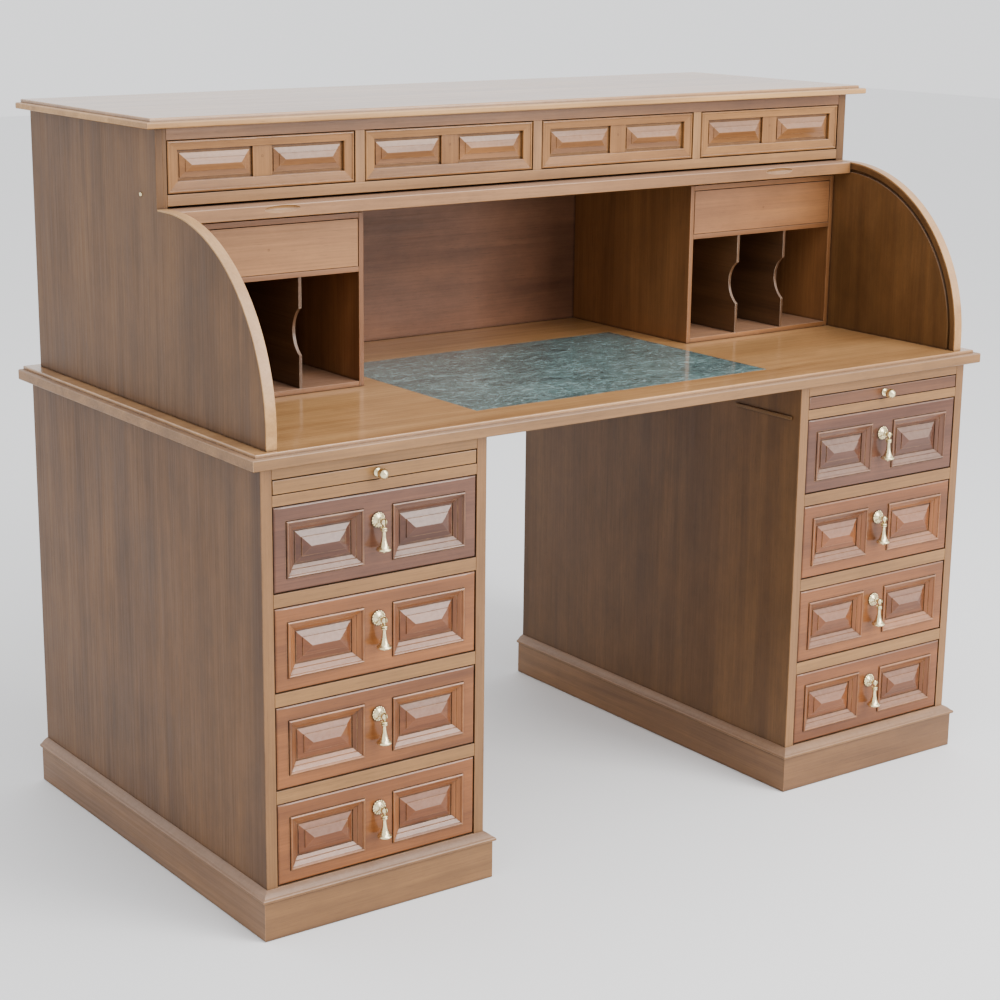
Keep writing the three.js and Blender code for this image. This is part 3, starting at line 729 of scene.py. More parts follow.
def ring(
    low: Corner,
    high: Corner,
    base: float,
    profile: Profile,
    plane: Plane,
    spread: tuple[float, float, float] = (1.0, 1.0, 1.0),
) -> bmesh.types.BMesh:
    """Wraps a moulding round a rectangle, mitred at its corners.

    Args:
        low: The rectangle's lower corner in its plane, in metres.
        high: The rectangle's upper corner in its plane, in metres.
        base: The level that the profile's rise starts from, in metres.
        profile: A closed profile's points as outset from the rectangle and rise, in millimetres.
        plane: The rectangle's plane. A rise goes to the front, or up in plan.
        spread: Factors on the outset at the sides, the bottom and the top.

    Returns:
        The moulding's mesh.
    """

    def corner(index: int, outset: float, rise: float) -> Vector:
        """Gives a profile point's place at one of the rectangle's corners."""
        at_side = -1 if index in (0, 3) else 1
        at_end = -1 if index in (0, 1) else 1
        across = (low[0] if at_side < 0 else high[0]) + at_side * outset * spread[0] * MM
        end_spread = spread[1] if at_end < 0 else spread[2]
        along = (low[1] if at_end < 0 else high[1]) + at_end * outset * end_spread * MM
        if plane is Plane.FRONT:
            return Vector((across, base - rise * MM, along))
        return Vector((across, along, base + rise * MM))

    shell = bmesh.new()
    loop = [shell.verts.new(corner(index, *profile[0])) for index in range(4)]
    edges = [shell.edges.new((loop[index], loop[(index + 1) % 4])) for index in range(4)]
    first = list(edges)
    for outset, rise in profile[1:]:
        made = bmesh.ops.extrude_edge_only(shell, edges=edges)["geom"]
        fresh = {item for item in made if isinstance(item, bmesh.types.BMVert)}
        loop = [next(e.other_vert(v) for e in v.link_edges if e.other_vert(v) in fresh) for v in loop]
        edges = [item for item in made if isinstance(item, bmesh.types.BMEdge)]
        edges = [edge for edge in edges if edge.verts[0] in fresh and edge.verts[1] in fresh]
        for index, vert in enumerate(loop):
            vert.co = corner(index, outset, rise)
    bmesh.ops.bridge_loops(shell, edges=first + edges)
    bmesh.ops.recalc_face_normals(shell, faces=shell.faces[:])
    return shell


def stepped_panel(block: Block, tiers: Profile) -> bmesh.types.BMesh:
    """Makes a raised panel that climbs to the front in sloped and upright tiers.

    Args:
        block: The panel's base slab.
        tiers: Each tier's inset and rise, in millimetres.

    Returns:
        The panel's mesh.
    """
    shell = board(block, 0)
    field = faces_towards(shell, Vector((0, -1, 0)))
    for inset, rise in tiers:
        bmesh.ops.inset_region(shell, faces=field, thickness=inset * MM, depth=rise * MM, use_even_offset=True)
    return shell


class Outline:
    """A closed outline in the Y-Z plane, drawn with lines and arcs and thickened along X."""

    def __init__(self, x: float, y: float, z: float) -> None:
        """Starts the outline.

        Args:
            x: The plane's X, in metres.
            y: The first point's Y, in metres.
            z: The first point's Z, in metres.
        """
        self.x = x
        self.shell = bmesh.new()
        self.start = self.shell.verts.new((x, y, z))
        self.tip = self.start

    def line(self, y: float, z: float) -> "Outline":
        """Draws a straight stretch to a point, in metres."""
        self.tip = bmesh.ops.extrude_vert_indiv(self.shell, verts=[self.tip])["verts"][0]
        self.tip.co = (self.x, y, z)
        return self

    def arc(self, y: float, z: float, degrees: float, steps: int = 40) -> "Outline":
        """Draws an arc from the last point.

        Args:
            y: The centre's Y, in metres.
            z: The centre's Z, in metres.
            degrees: The turn about +X; positive turns +Y towards +Z.
            steps: How many straight steps the arc has.

        Returns:
            The outline itself.
        """
        turned = bmesh.ops.spin(
            self.shell,
            geom=[self.tip],
            cent=(self.x, y, z),
            axis=(1, 0, 0),
            angle=math.radians(degrees),
            steps=steps,
        )
        self.tip = next(item for item in turned["geom_last"] if isinstance(item, bmesh.types.BMVert))
        return self

    def board(self, thickness: float, radius: float = 0.8) -> bmesh.types.BMesh:
        """Closes the outline and thickens it.

        Args:
            thickness: The thickness along +X, in metres.
            radius: How far the rims are eased, in millimetres.

        Returns:
            The board's mesh.
        """
        shell = self.shell
        shell.edges.new((self.tip, self.start))
        bmesh.ops.remove_doubles(shell, verts=shell.verts[:], dist=1e-7)
        bmesh.ops.edgeloop_fill(shell, edges=shell.edges[:])
        made = bmesh.ops.extrude_face_region(shell, geom=shell.faces[:])["geom"]
        verts = [item for item in made if isinstance(item, bmesh.types.BMVert)]
        bmesh.ops.translate(shell, verts=verts, vec=(thickness, 0, 0))
        bmesh.ops.recalc_face_normals(shell, faces=shell.faces[:])
        shell.normal_update()
        rims = [e for e in shell.edges if len({abs(f.normal.x) > 0.9 for f in e.link_faces}) == 2]
        if radius > 0:
            bevel(shell, rims, radius)
        return shell


class Piece:
    """One named piece: shells joined in one mesh, with its finish and the body that carries it."""

    def __init__(self, name: str, finish: Finish, body: str = "root", stands_for: tuple[str, ...] = ()) -> None:
        """Starts an empty piece.

        Args:
            name: The piece's name.
            finish: The piece's finish.
            body: The frame body that it moves with.
            stands_for: The frame nodes that it replaces.
        """
        self.name = name
        self.finish = finish
        self.body = body
        self.stands_for = stands_for
        self.mesh = bmesh.new()

    def add(
        self, shell: bmesh.types.BMesh, grain: Axis = Axis.X, crease: float = 50.0, tone: float | None = None
    ) -> None:
        """Adds one shell, and marks its grain, its tone and its sharp edges.

        Args:
            shell: The shell, which is used up.
            grain: The way its fibres run.
            crease: Edges that turn by more degrees than this stay sharp.
            tone: How light its wood is: 0 and 1 are the darkest and lightest that the lot draws, and a
                value outside them goes further. Left out, it is drawn by lot.
        """
        shift = Vector([luck.uniform(-4, 4) for _ in range(3)])
        lot = luck.random()
        along = shell.verts.layers.float_vector.new("grain")
        shade = shell.verts.layers.float.new("tone")
        order = [grain.value, (grain.value + 1) % 3, (grain.value + 2) % 3]
        for vert in shell.verts:
            vert[along] = shift + Vector([vert.co[index] for index in order])
            vert[shade] = lot if tone is None else tone
        for face in shell.faces:
            face.smooth = True
        for edge in shell.edges:
            edge.smooth = len(edge.link_faces) == 2 and edge.calc_face_angle(0.0) < math.radians(crease)
        data = bpy.data.meshes.new("shell")
        shell.to_mesh(data)
        shell.free()
        self.mesh.from_mesh(data)
        bpy.data.meshes.remove(data)

    def add_ring(self, shell: bmesh.types.BMesh, low: Corner, high: Corner, plane: Plane, crease: float) -> None:
        """Adds a mitred moulding, whose fibres run along each of its members.

        Args:
            shell: The moulding, which is used up.
            low: The lower corner of its rectangle, in metres.
            high: The upper corner of its rectangle, in metres.
            plane: The rectangle's plane.
            crease: Edges that turn by more degrees than this stay sharp.
        """
        along = 2 if plane is Plane.FRONT else 1

        def upright(face: bmesh.types.BMFace) -> bool:
            """Tells whether a face is on one of the two members across X."""
            middle = face.calc_center_median()
            across = abs(middle.x - (low[0] + high[0]) / 2) - (high[0] - low[0]) / 2
            return across > abs(middle[along] - (low[1] + high[1]) / 2) - (high[1] - low[1]) / 2

        for is_upright in (False, True):
            part = shell.copy()
            others = [face for face in part.faces if upright(face) is not is_upright]
            bmesh.ops.delete(part, geom=others, context="FACES")
            self.add(part, Axis(along) if is_upright else Axis.X, crease)
        shell.free()

    def finish_up(self) -> bpy.types.Object:
        """Makes the object, dresses it and hangs it on its body.

        Returns:
            The object.
        """
        data = bpy.data.meshes.new(self.name)
        self.mesh.to_mesh(data)
        self.mesh.free()
        made = bpy.data.objects.new(self.name, data)
        bpy.context.scene.collection.objects.link(made)
        data.materials.append(material_of(self.finish))
        weighted = made.modifiers.new("flat_faces", "WEIGHTED_NORMAL")
        weighted.keep_sharp = True
        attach(made, self.body)
        if self.stands_for:
            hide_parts(*self.stands_for)
        size = " x ".join(f"{length / MM:.1f}" for length in made.dimensions)
        log.info("%s on %s: %d faces, %s mm", self.name, self.body, len(data.polygons), size)
        return made


def screw_heads(name: str, places: list[Vector], facing: Facing, sign: int = 1) -> None:
    """Makes a row of countersunk screw heads as one piece on the desk's fixed body.

    Args:
        name: The piece's name.
        places: Where each head's centre is, in metres.
        facing: The way the heads look.
        sign: Minus one turns the heads to look the other way.
    """
    piece = Piece(name, STEEL)
    for place in places:
        head = revolve([(0, -2.0), (3.4, -2.0), (3.4, 0.2), (2.9, 0.5), (0, 0.7)], Vector(), facing, 16)
        if sign < 0:
            bmesh.ops.rotate(head, verts=head.verts[:], matrix=Matrix.Rotation(math.pi, 3, "Z"))
        bmesh.ops.translate(head, verts=head.verts[:], vec=place)
        piece.add(head, crease=40)
    piece.finish_up()


# ------------------------------------------------------------------------------- writing top


@dataclass(frozen=True)
class TwoTierBoard:
    """A top board's shape: a lower tier with a rounded edge, and a smaller raised field on it."""

    edge_radius: float
    rim_radius: float = 1.6
    step_width: float = 9.5
    step_height: float = 5.3
    overlap: float = 1.0

    def step(self, top: Block) -> float:
        """The level where the field starts, in metres."""
        return top.high.z - self.step_height * MM

    def lower(self, top: Block) -> bmesh.types.BMesh:
        """Makes the lower tier, rounded at the front and both ends.

        Args:
            top: The whole board's box.

        Returns:
            The lower tier's mesh.
        """
        shell = board(top.cut(z=(top.low.z, self.step(top))), 0)
        level = [e for e in shell.edges if abs(e.verts[0].co.z - e.verts[1].co.z) < 1e-6]
        level = [e for e in level if min(v.co.y for v in e.verts) < top.high.y - 1e-4]
        bevel(shell, level, self.edge_radius, 4)
        return shell

    def upper(self, top: Block) -> bmesh.types.BMesh:
        """Makes the raised field.

        Args:
            top: The whole board's box.

        Returns:
            The field's mesh.
        """
        inset, step = self.step_width * MM, self.step(top)
        across = (top.low.x + inset, top.high.x - inset)
        field = top.cut(x=across, y=(top.low.y + inset, top.high.y), z=(step - self.overlap * MM, top.high.z))
        shell = board(field, 0)
        rims = [e for e in shell.edges if all(v.co.z > step for v in e.verts)]
        bevel(shell, rims, self.rim_radius, 3)
        return shell


@dataclass
class WritingTop:
    """The main top with its stepped edge, and the marble slab let into it."""

    shape: TwoTierBoard = TwoTierBoard(edge_radius=2.6)
    slab_radius: float = 0.9
    pocket_gap: float = 0.3
    field_tone: float = 0.6

    def build(self) -> None:
        """Builds the top, its raised field and the marble."""
        top = Block.of("main_top")
        marble = Block.of("writing_inset")
        edge = Piece("main_top_edge", EDGE_WALNUT)
        edge.add(self.shape.lower(top))
        edge.finish_up()
        field = Piece("main_top_field", TOP_WALNUT, stands_for=("main_top",))
        shell = self.shape.upper(top)
        self.sink_pocket(shell, top, marble)
        field.add(shell, tone=self.field_tone)
        field.finish_up()
        slab = Piece("marble_slab", MARBLE, stands_for=("writing_inset",))
        slab.add(board(marble, self.slab_radius, 2))
        slab.finish_up()

    def sink_pocket(self, shell: bmesh.types.BMesh, top: Block, marble: Block) -> None:
        """Sinks the pocket that holds the marble.

        Args:
            shell: The raised field.
            top: The whole board's box.
            marble: The slab's box.
        """
        gap = self.pocket_gap * MM
        for across in (marble.low.x - gap, marble.high.x + gap):
            slice_at(shell, Vector((across, 0, 0)), Vector((1, 0, 0)))
        for along in (marble.low.y - gap, marble.high.y + gap):
            slice_at(shell, Vector((0, along, 0)), Vector((0, 1, 0)))

        def distance(face: bmesh.types.BMFace) -> float:
            """Gives how far a face's middle is from the slab's in plan."""
            return (face.calc_center_median() - marble.centre).xy.length

        mouth = min(faces_towards(shell, Vector((0, 0, 1))), key=distance)
        bmesh.ops.extrude_discrete_faces(shell, faces=[mouth])
        floor = min(faces_towards(shell, Vector((0, 0, 1))), key=distance)
        bmesh.ops.translate(shell, verts=floor.verts[:], vec=(0, 0, marble.low.z - gap - top.high.z))


# ------------------------------------------------------------------------------- drawers


@dataclass(frozen=True)
class DrawerBox:
    """The open box behind a drawer front, dovetailed at the front and housed at the back."""

    side: float = 10.0
    bottom: float = 6.0
    bottom_drop: float = 8.0
    pins: int = 3
    side_gap: float = 2.8
    lift: float = 1.0
    headroom: float = 14.0
    front_lap: float = 0.5
    groove: float = 2.0
    bottom_tone: float = 0.9
    pin_depth: float = 9.0
    pin_height: float = 12.0
    pin_taper: float = 0.5
    pin_proud: float = 0.1
    pin_sunk: float = 1.0
    pin_tone: float = -1.8

    def build(self, name: str, body: str, whole: Block, front: Block) -> None:
        """Builds the box.

        Args:
            name: The piece's name.
            body: The body it moves with.
            whole: The whole drawer's box.
            front: The drawer front's box.
        """
        piece = Piece(name, BOX_WOOD, body)
        gap, side, drop, groove = (v * MM for v in (self.side_gap, self.side, self.bottom_drop, self.groove))
        block = whole.cut(
            x=(front.low.x + gap, front.high.x - gap),
            z=(front.low.z + self.lift * MM, front.high.z - self.headroom * MM),
        )
        low, high, front_y = block.low, block.high, front.high.y
        for span in ((low.x, low.x + side), (high.x - side, high.x)):
            wall = block.cut(x=span, y=(front_y - self.front_lap * MM, high.y))
            piece.add(board(wall, 0.6), Axis.Y)
        back = block.cut(x=(low.x + side, high.x - side), y=(high.y - side, high.y), z=(low.z + drop, high.z - 0.002))
        piece.add(board(back, 0.6), Axis.X)
        base = block.cut(
            x=(low.x + side - groove, high.x - side + groove),
            y=(front_y, high.y - side + groove),
            z=(low.z + drop, low.z + drop + self.bottom * MM),
        )
        piece.add(board(base, 0.2), Axis.X, tone=self.bottom_tone)
        self.add_pins(piece, block, front_y)
        piece.finish_up()

    def add_pins(self, piece: Piece, block: Block, front_y: float) -> None:
        """Adds the dark end grain of the dovetail pins at the box's front corners.

        Args:
            piece: The drawer box.
            block: The box's outer size.
            front_y: The Y of the back of the drawer front, in metres.
        """
        reach, half = self.pin_depth * MM, self.pin_height / 2 * MM
        proud, sunk = self.pin_proud * MM, self.pin_sunk * MM
        pitch = block.size.z / (self.pins + 1)
        for x, way in ((block.low.x, -1), (block.high.x, 1)):
            for number in range(1, self.pins + 1):
                z = block.low.z + number * pitch
                span = (x + way * proud, x - way * sunk)
                pin = board(block.cut(x=span, y=(front_y, front_y + reach), z=(z - half, z + half)), 0)
                for vert in pin.verts:
                    if vert.co.y < front_y + reach / 2:
                        vert.co.z = z + (vert.co.z - z) * self.pin_taper
                piece.add(pin, Axis.Z, tone=self.pin_tone)


@dataclass(frozen=True)
class TwoFieldFront:
    """What both kinds of drawer front share: two sunk fields beside a mullion, each with a panel."""

    side_margin: float
    top_margin: float
    bottom_margin: float
    mullion: float
    thickness: float
    recess: float
    gutter: float
    panel_depth: float
    slope: tuple[float, float]
    step: tuple[float, float]
    crown_rise: float
    panel_tone: float
    ridge: float = 1.0
    sink: float = 1.0

    def board_of(self, node: str) -> Block:
        """The front board's box, at the front of its frame node."""
        whole = Block.of(node)
        return whole.cut(y=(whole.low.y, whole.low.y + self.thickness * MM))

    def fields(self, front: Block) -> list[tuple[Corner, Corner]]:
        """Places the two sunk fields.

        Args:
            front: The front board's box.

        Returns:
            Each field's lower and upper corner in X and Z.
        """
        z0 = front.low.z + self.bottom_margin * MM
        z1 = front.high.z - self.top_margin * MM
        middle, half, margin = front.centre.x, self.mullion / 2 * MM, self.side_margin * MM
        spans = [(front.low.x + margin, middle - half), (middle + half, front.high.x - margin)]
        return [((x0, z0), (x1, z1)) for x0, x1 in spans]

    def panel(self, low: Corner, high: Corner, face_y: float) -> bmesh.types.BMesh:
        """Makes a field's raised panel: a slope, a small step and a hipped crown.

        Args:
            low: The field's lower corner in X and Z, in metres.
            high: The field's upper corner in X and Z, in metres.
            face_y: The Y of the board's face, in metres.

        Returns:
            The panel's mesh.
        """
        inset = self.gutter * MM
        base = Block(
            Vector((low[0] + inset, face_y + self.panel_depth * MM, low[1] + inset)),
            Vector((high[0] - inset, face_y + (self.recess + self.sink) * MM, high[1] - inset)),
        )
        crown = (base.size.z / MM - self.ridge) / 2 - self.slope[0] - self.step[0]
        return stepped_panel(base, [self.slope, self.step, (crown, self.crown_rise)])


@dataclass(frozen=True)
class PanelledFront(TwoFieldFront):
    """A pedestal drawer front: a rounded board with two framed fields, each round a stepped panel."""

    side_margin: float = 20.7
    top_margin: float = 22.7
    bottom_margin: float = 19.7
    mullion: float = 49.4
    thickness: float = 20.0
    recess: float = 9.0
    gutter: float = 20.0
    panel_depth: float = 7.8
    slope: tuple[float, float] = (9.0, 2.8)
    step: tuple[float, float] = (0.5, 1.6)
    crown_rise: float = 4.2
    panel_tone: float = -0.6
    edge_radius: float = 4.2

    def build(self, name: str, body: str, node: str, finish: Walnut) -> Block:
        """Builds the front.

        Args:
            name: The piece's name.
            body: The body it moves with.
            node: The drawer's frame node, whose box gives the front's face.
            finish: The front's finish.

        Returns:
            The front board's box.
        """
        front = self.board_of(node)
        piece = Piece(name, finish, body, (node,))
        piece.add(self.face_board(front), crease=30)
        for low, high in self.fields(front):
            moulding = ring(low, high, front.low.y, self.frame_profile(), Plane.FRONT)
            piece.add_ring(moulding, low, high, Plane.FRONT, 22)
            piece.add(self.panel(low, high, front.low.y), crease=8, tone=self.panel_tone)
        piece.finish_up()
        return front

    def face_board(self, front: Block) -> bmesh.types.BMesh:
        """Makes the board, rounded at its front and cut back in its two fields.

        Args:
            front: The front board's box.

        Returns:
            The board's mesh.
        """
        shell = board(front, 0)
        rim = [e for e in shell.edges if all(v.co.y < front.low.y + 1e-6 for v in e.verts)]
        bevel(shell, rim, self.edge_radius, 4)
        fields = self.fields(front)
        for low, high in fields:
            for x in (low[0], high[0]):
                slice_at(shell, Vector((x, 0, 0)), Vector((1, 0, 0)))
        for z in (fields[0][0][1], fields[0][1][1]):
            slice_at(shell, Vector((0, 0, z)), Vector((0, 0, 1)))
        sunk = []
        for face in faces_towards(shell, Vector((0, -1, 0))):
            middle = face.calc_center_median()
            if any(low[0] < middle.x < high[0] and low[1] < middle.z < high[1] for low, high in fields):
                sunk.append(face)
        made = bmesh.ops.extrude_discrete_faces(shell, faces=sunk)["faces"]
        verts = list({vert for face in made for vert in face.verts})
        bmesh.ops.translate(shell, verts=verts, vec=(0, self.recess * MM, 0))
        return shell

    def frame_profile(self) -> Profile:
        """Gives the moulding round a field, from its outer bead down two slopes to the recess."""
        floor = -self.recess - 0.2
        return [
            (-0.9, floor), (-0.9, 1.2), (-1.5, 2.3), (-2.7, 2.9), (-4.0, 2.5), (-4.9, 1.4), (-5.3, 0.4),
            (-6.2, 0.1), (-11.2, -3.2), (-11.4, -4.2), (-12.6, -4.4), (-17.2, -7.4), (-17.4, floor),
        ]


@dataclass(frozen=True)
class UpperFront(TwoFieldFront):
    """An upper drawer front: a sloped mitred frame, a flat mullion and two stepped panels."""

    side_margin: float = 19.0
    top_margin: float = 15.0
    bottom_margin: float = 19.0
    mullion: float = 34.0
    thickness: float = 18.0
    recess: float = 8.0
    gutter: float = 4.6
    panel_depth: float = 6.4
    slope: tuple[float, float] = (8.5, 2.4)
    step: tuple[float, float] = (0.5, 1.2)
    crown_rise: float = 3.6
    panel_tone: float = -0.9
    mullion_depth: float = 3.6
    frame_width: float = 19.0
    hole_from_top: float = 0.38

    def build(self, name: str, body: str, node: str) -> Block:
        """Builds the front and its screw hole.

        Args:
            name: The piece's name.
            body: The body it moves with.
            node: The drawer's frame node.

        Returns:
            The front board's box.
        """
        front = self.board_of(node)
        face, floor, flat = front.low.y, front.low.y + self.recess * MM, front.low.y + self.mullion_depth * MM
        piece = Piece(name, UPPER_DRAWER_WALNUT, body, (node,))
        piece.add(board(front.cut(y=(floor, front.high.y)), 0.5))
        piece.add_ring(self.frame(front), (front.low.x, front.low.z), (front.high.x, front.high.z), Plane.FRONT, 22)
        mullion = front.cut(
            x=(front.centre.x - self.mullion / 2 * MM, front.centre.x + self.mullion / 2 * MM),
            y=(flat, floor + self.sink * MM),
            z=(front.low.z + (self.bottom_margin - 1) * MM, front.high.z - (self.top_margin - 1) * MM),
        )
        piece.add(board(mullion, 0.6), Axis.Z)
        for low, high in self.fields(front):
            piece.add(self.panel(low, high, face), crease=8, tone=self.panel_tone)
        piece.finish_up()
        hole = Vector((front.centre.x, flat, front.high.z - front.size.z * self.hole_from_top))
        screw_hole(name + "_hole", body, hole)
        return front

    def frame(self, front: Block) -> bmesh.types.BMesh:
        """Makes the sloped frame round the front.

        Args:
            front: The front board's box.

        Returns:
            The frame's mesh.
        """
        floor = -self.recess - 0.5
        profile = [
            (0.0, floor), (0.0, -2.4), (-0.8, -0.9), (-2.2, -0.1), (-3.6, 0.0), (-4.6, -1.3), (-17.4, -1.9),
            (-18.2, -2.6), (-self.frame_width, floor),
        ]
        margins = (self.side_margin, self.bottom_margin, self.top_margin)
        side, bottom, top = (margin / self.frame_width for margin in margins)
        low, high = (front.low.x, front.low.z), (front.high.x, front.high.z)
        return ring(low, high, front.low.y, profile, Plane.FRONT, (side, bottom, top))


def screw_hole(name: str, body: str, place: Vector) -> None:
    """Makes the countersunk mouth of an empty screw hole in a drawer front, as a shallow cup in near-black wood that
    paints in the shade of the hole.

    Args:
        name: The piece's name.
        body: The body it moves with.
        place: The hole's centre on the front's surface, in metres.
    """
    piece = Piece(name, HOLE_SHADE, body)
    cup = [(0, -3.0), (1.7, -3.0), (1.7, 0.1), (1.4, 0.1), (1.2, -0.9), (0, -1.4)]
    piece.add(revolve(cup, place, Facing.FRONT, 16), crease=30)
    piece.finish_up()


@dataclass
class Pull:
    """A pedestal drawer's pull: a beaded rosette with a slotted ball, and a bell that hangs from it."""

    side: Side
    index: int
    beads: int = 16
    ball_radius: float = 5.5
    ball_slot: float = 1.1
    ball_inset: float = 4.5

    def build(self) -> None:
        """Builds the rosette and the drop."""
        plate_node = f"{self.side.word}_handle_plate_{self.index}"
        plate = Block.of(plate_node)
        drop_node = f"{self.side.word}_handle_drop_{self.index}"
        drop = Block.of(drop_node)
        origin = Vector((plate.centre.x, plate.high.y, plate.centre.z))
        pivot = Vector((plate.centre.x, plate.low.y + self.ball_inset * MM, plate.centre.z))
        self.build_rosette(origin, pivot, plate_node)
        self.build_drop(pivot, drop_node, drop)

    def build_rosette(self, origin: Vector, pivot: Vector, node: str) -> None:
        """Builds the beaded plate, its stem and the two cheeks that hold the pin.

        Args:
            origin: The middle of the plate's back, in metres.
            pivot: The pin's middle, in metres.
            node: The frame node that it replaces.
        """
        piece = Piece(f"{self.side.word}_rosette_{self.index}", BRASS, f"{self.side.word}_drawer_{self.index}", (node,))
        reach = (origin.y - pivot.y) / MM
        profile = [
            (0, 0), (10.6, 0), (10.9, 1.0), (9.6, 1.7), (8.4, 1.5), (7.6, 2.3), (6.2, 3.0), (4.9, 3.2),
            (4.3, 4.3), (3.0, 5.2), (2.7, 7.0), (3.3, 8.0), (3.9, 8.8), (3.3, 9.6), (2.8, 10.4),
            (2.8, reach - 2.0), (0, reach - 2.0),
        ]
        piece.add(revolve(profile, origin, Facing.FRONT, 40), crease=60)
        for number in range(self.beads):
            angle = math.tau * number / self.beads
            centre = origin + Vector((math.cos(angle) * 10.4, -1.0, math.sin(angle) * 10.4)) * MM
            bead = bmesh.new()
            bmesh.ops.create_uvsphere(bead, u_segments=10, v_segments=6, radius=0.0017)
            bmesh.ops.translate(bead, verts=bead.verts[:], vec=centre)
            piece.add(bead)
        for way in (-1, 1):
            piece.add(self.cheek(pivot, way), crease=60)
        pin = revolve([(0, -3.9), (1.0, -3.9), (1.0, 3.9), (0, 3.9)], pivot, Facing.OUTWARD, 12)
        piece.add(pin, crease=60)
        piece.finish_up()

    def cheek(self, pivot: Vector, way: int) -> bmesh.types.BMesh:
        """Makes one side of the slotted ball.

        Args:
            pivot: The ball's centre, in metres.
            way: The sign of X on this cheek's side.

        Returns:
            The cheek's mesh.
        """
        shell = bmesh.new()
        turned = Matrix.Translation(pivot) @ Matrix.Rotation(math.pi / 2, 4, "Y")
        bmesh.ops.create_uvsphere(shell, u_segments=28, v_segments=16, radius=self.ball_radius * MM, matrix=turned)
        slot_wall = pivot + Vector((way * self.ball_slot * MM, 0, 0))
        bmesh.ops.edgeloop_fill(shell, edges=slice_at(shell, slot_wall, Vector((-way, 0, 0)), clear=True))
        bmesh.ops.recalc_face_normals(shell, faces=shell.faces[:])
        return shell

    def build_drop(self, pivot: Vector, node: str, drop: Block) -> None:
        """Builds the eye, the collars, the neck and the bell.

        Args:
            pivot: The pin's middle, in metres.
            node: The frame node that it replaces, which is also the name of its body.
            drop: The node's box, whose bottom is the bell's.
        """
        piece = Piece(f"{self.side.word}_bell_drop_{self.index}", BRASS, node, (node,))
        eye = [(1.35, -1.0), (2.8, -1.0), (2.8, 1.0), (1.35, 1.0), (1.35, -1.0)]
        piece.add(revolve(eye, pivot, Facing.OUTWARD, 24))
        tang = Block(pivot + Vector((-1, -1.8, -7.8)) * MM, pivot + Vector((1, 1.8, -1.7)) * MM)
        piece.add(board(tang, 0.3))
        end = (drop.low.z - pivot.z) / MM
        profile = [
            (0, end), (1.2, end + 0.2), (1.9, end + 1.3), (1.6, end + 2.4), (3.2, end + 3.0), (7.6, end + 3.3),
            (10.2, end + 3.9), (11.4, end + 4.9), (11.75, end + 6.2), (11.2, end + 7.4), (9.6, end + 8.4),
            (8.0, end + 10.0), (6.3, end + 13.0), (4.9, end + 17.0), (3.7, end + 22.0), (3.0, end + 27.0),
            (2.7, -15.4), (3.1, -14.4), (5.0, -13.6), (5.5, -12.7), (5.0, -11.8), (3.8, -11.2), (5.0, -10.6),
            (5.5, -9.6), (4.9, -8.6), (3.2, -7.9), (2.4, -7.2), (0, -7.0),
        ]
        piece.add(revolve(profile, pivot, Facing.UP, 36), crease=70)
        piece.finish_up()


# ------------------------------------------------------------------------------- pedestals


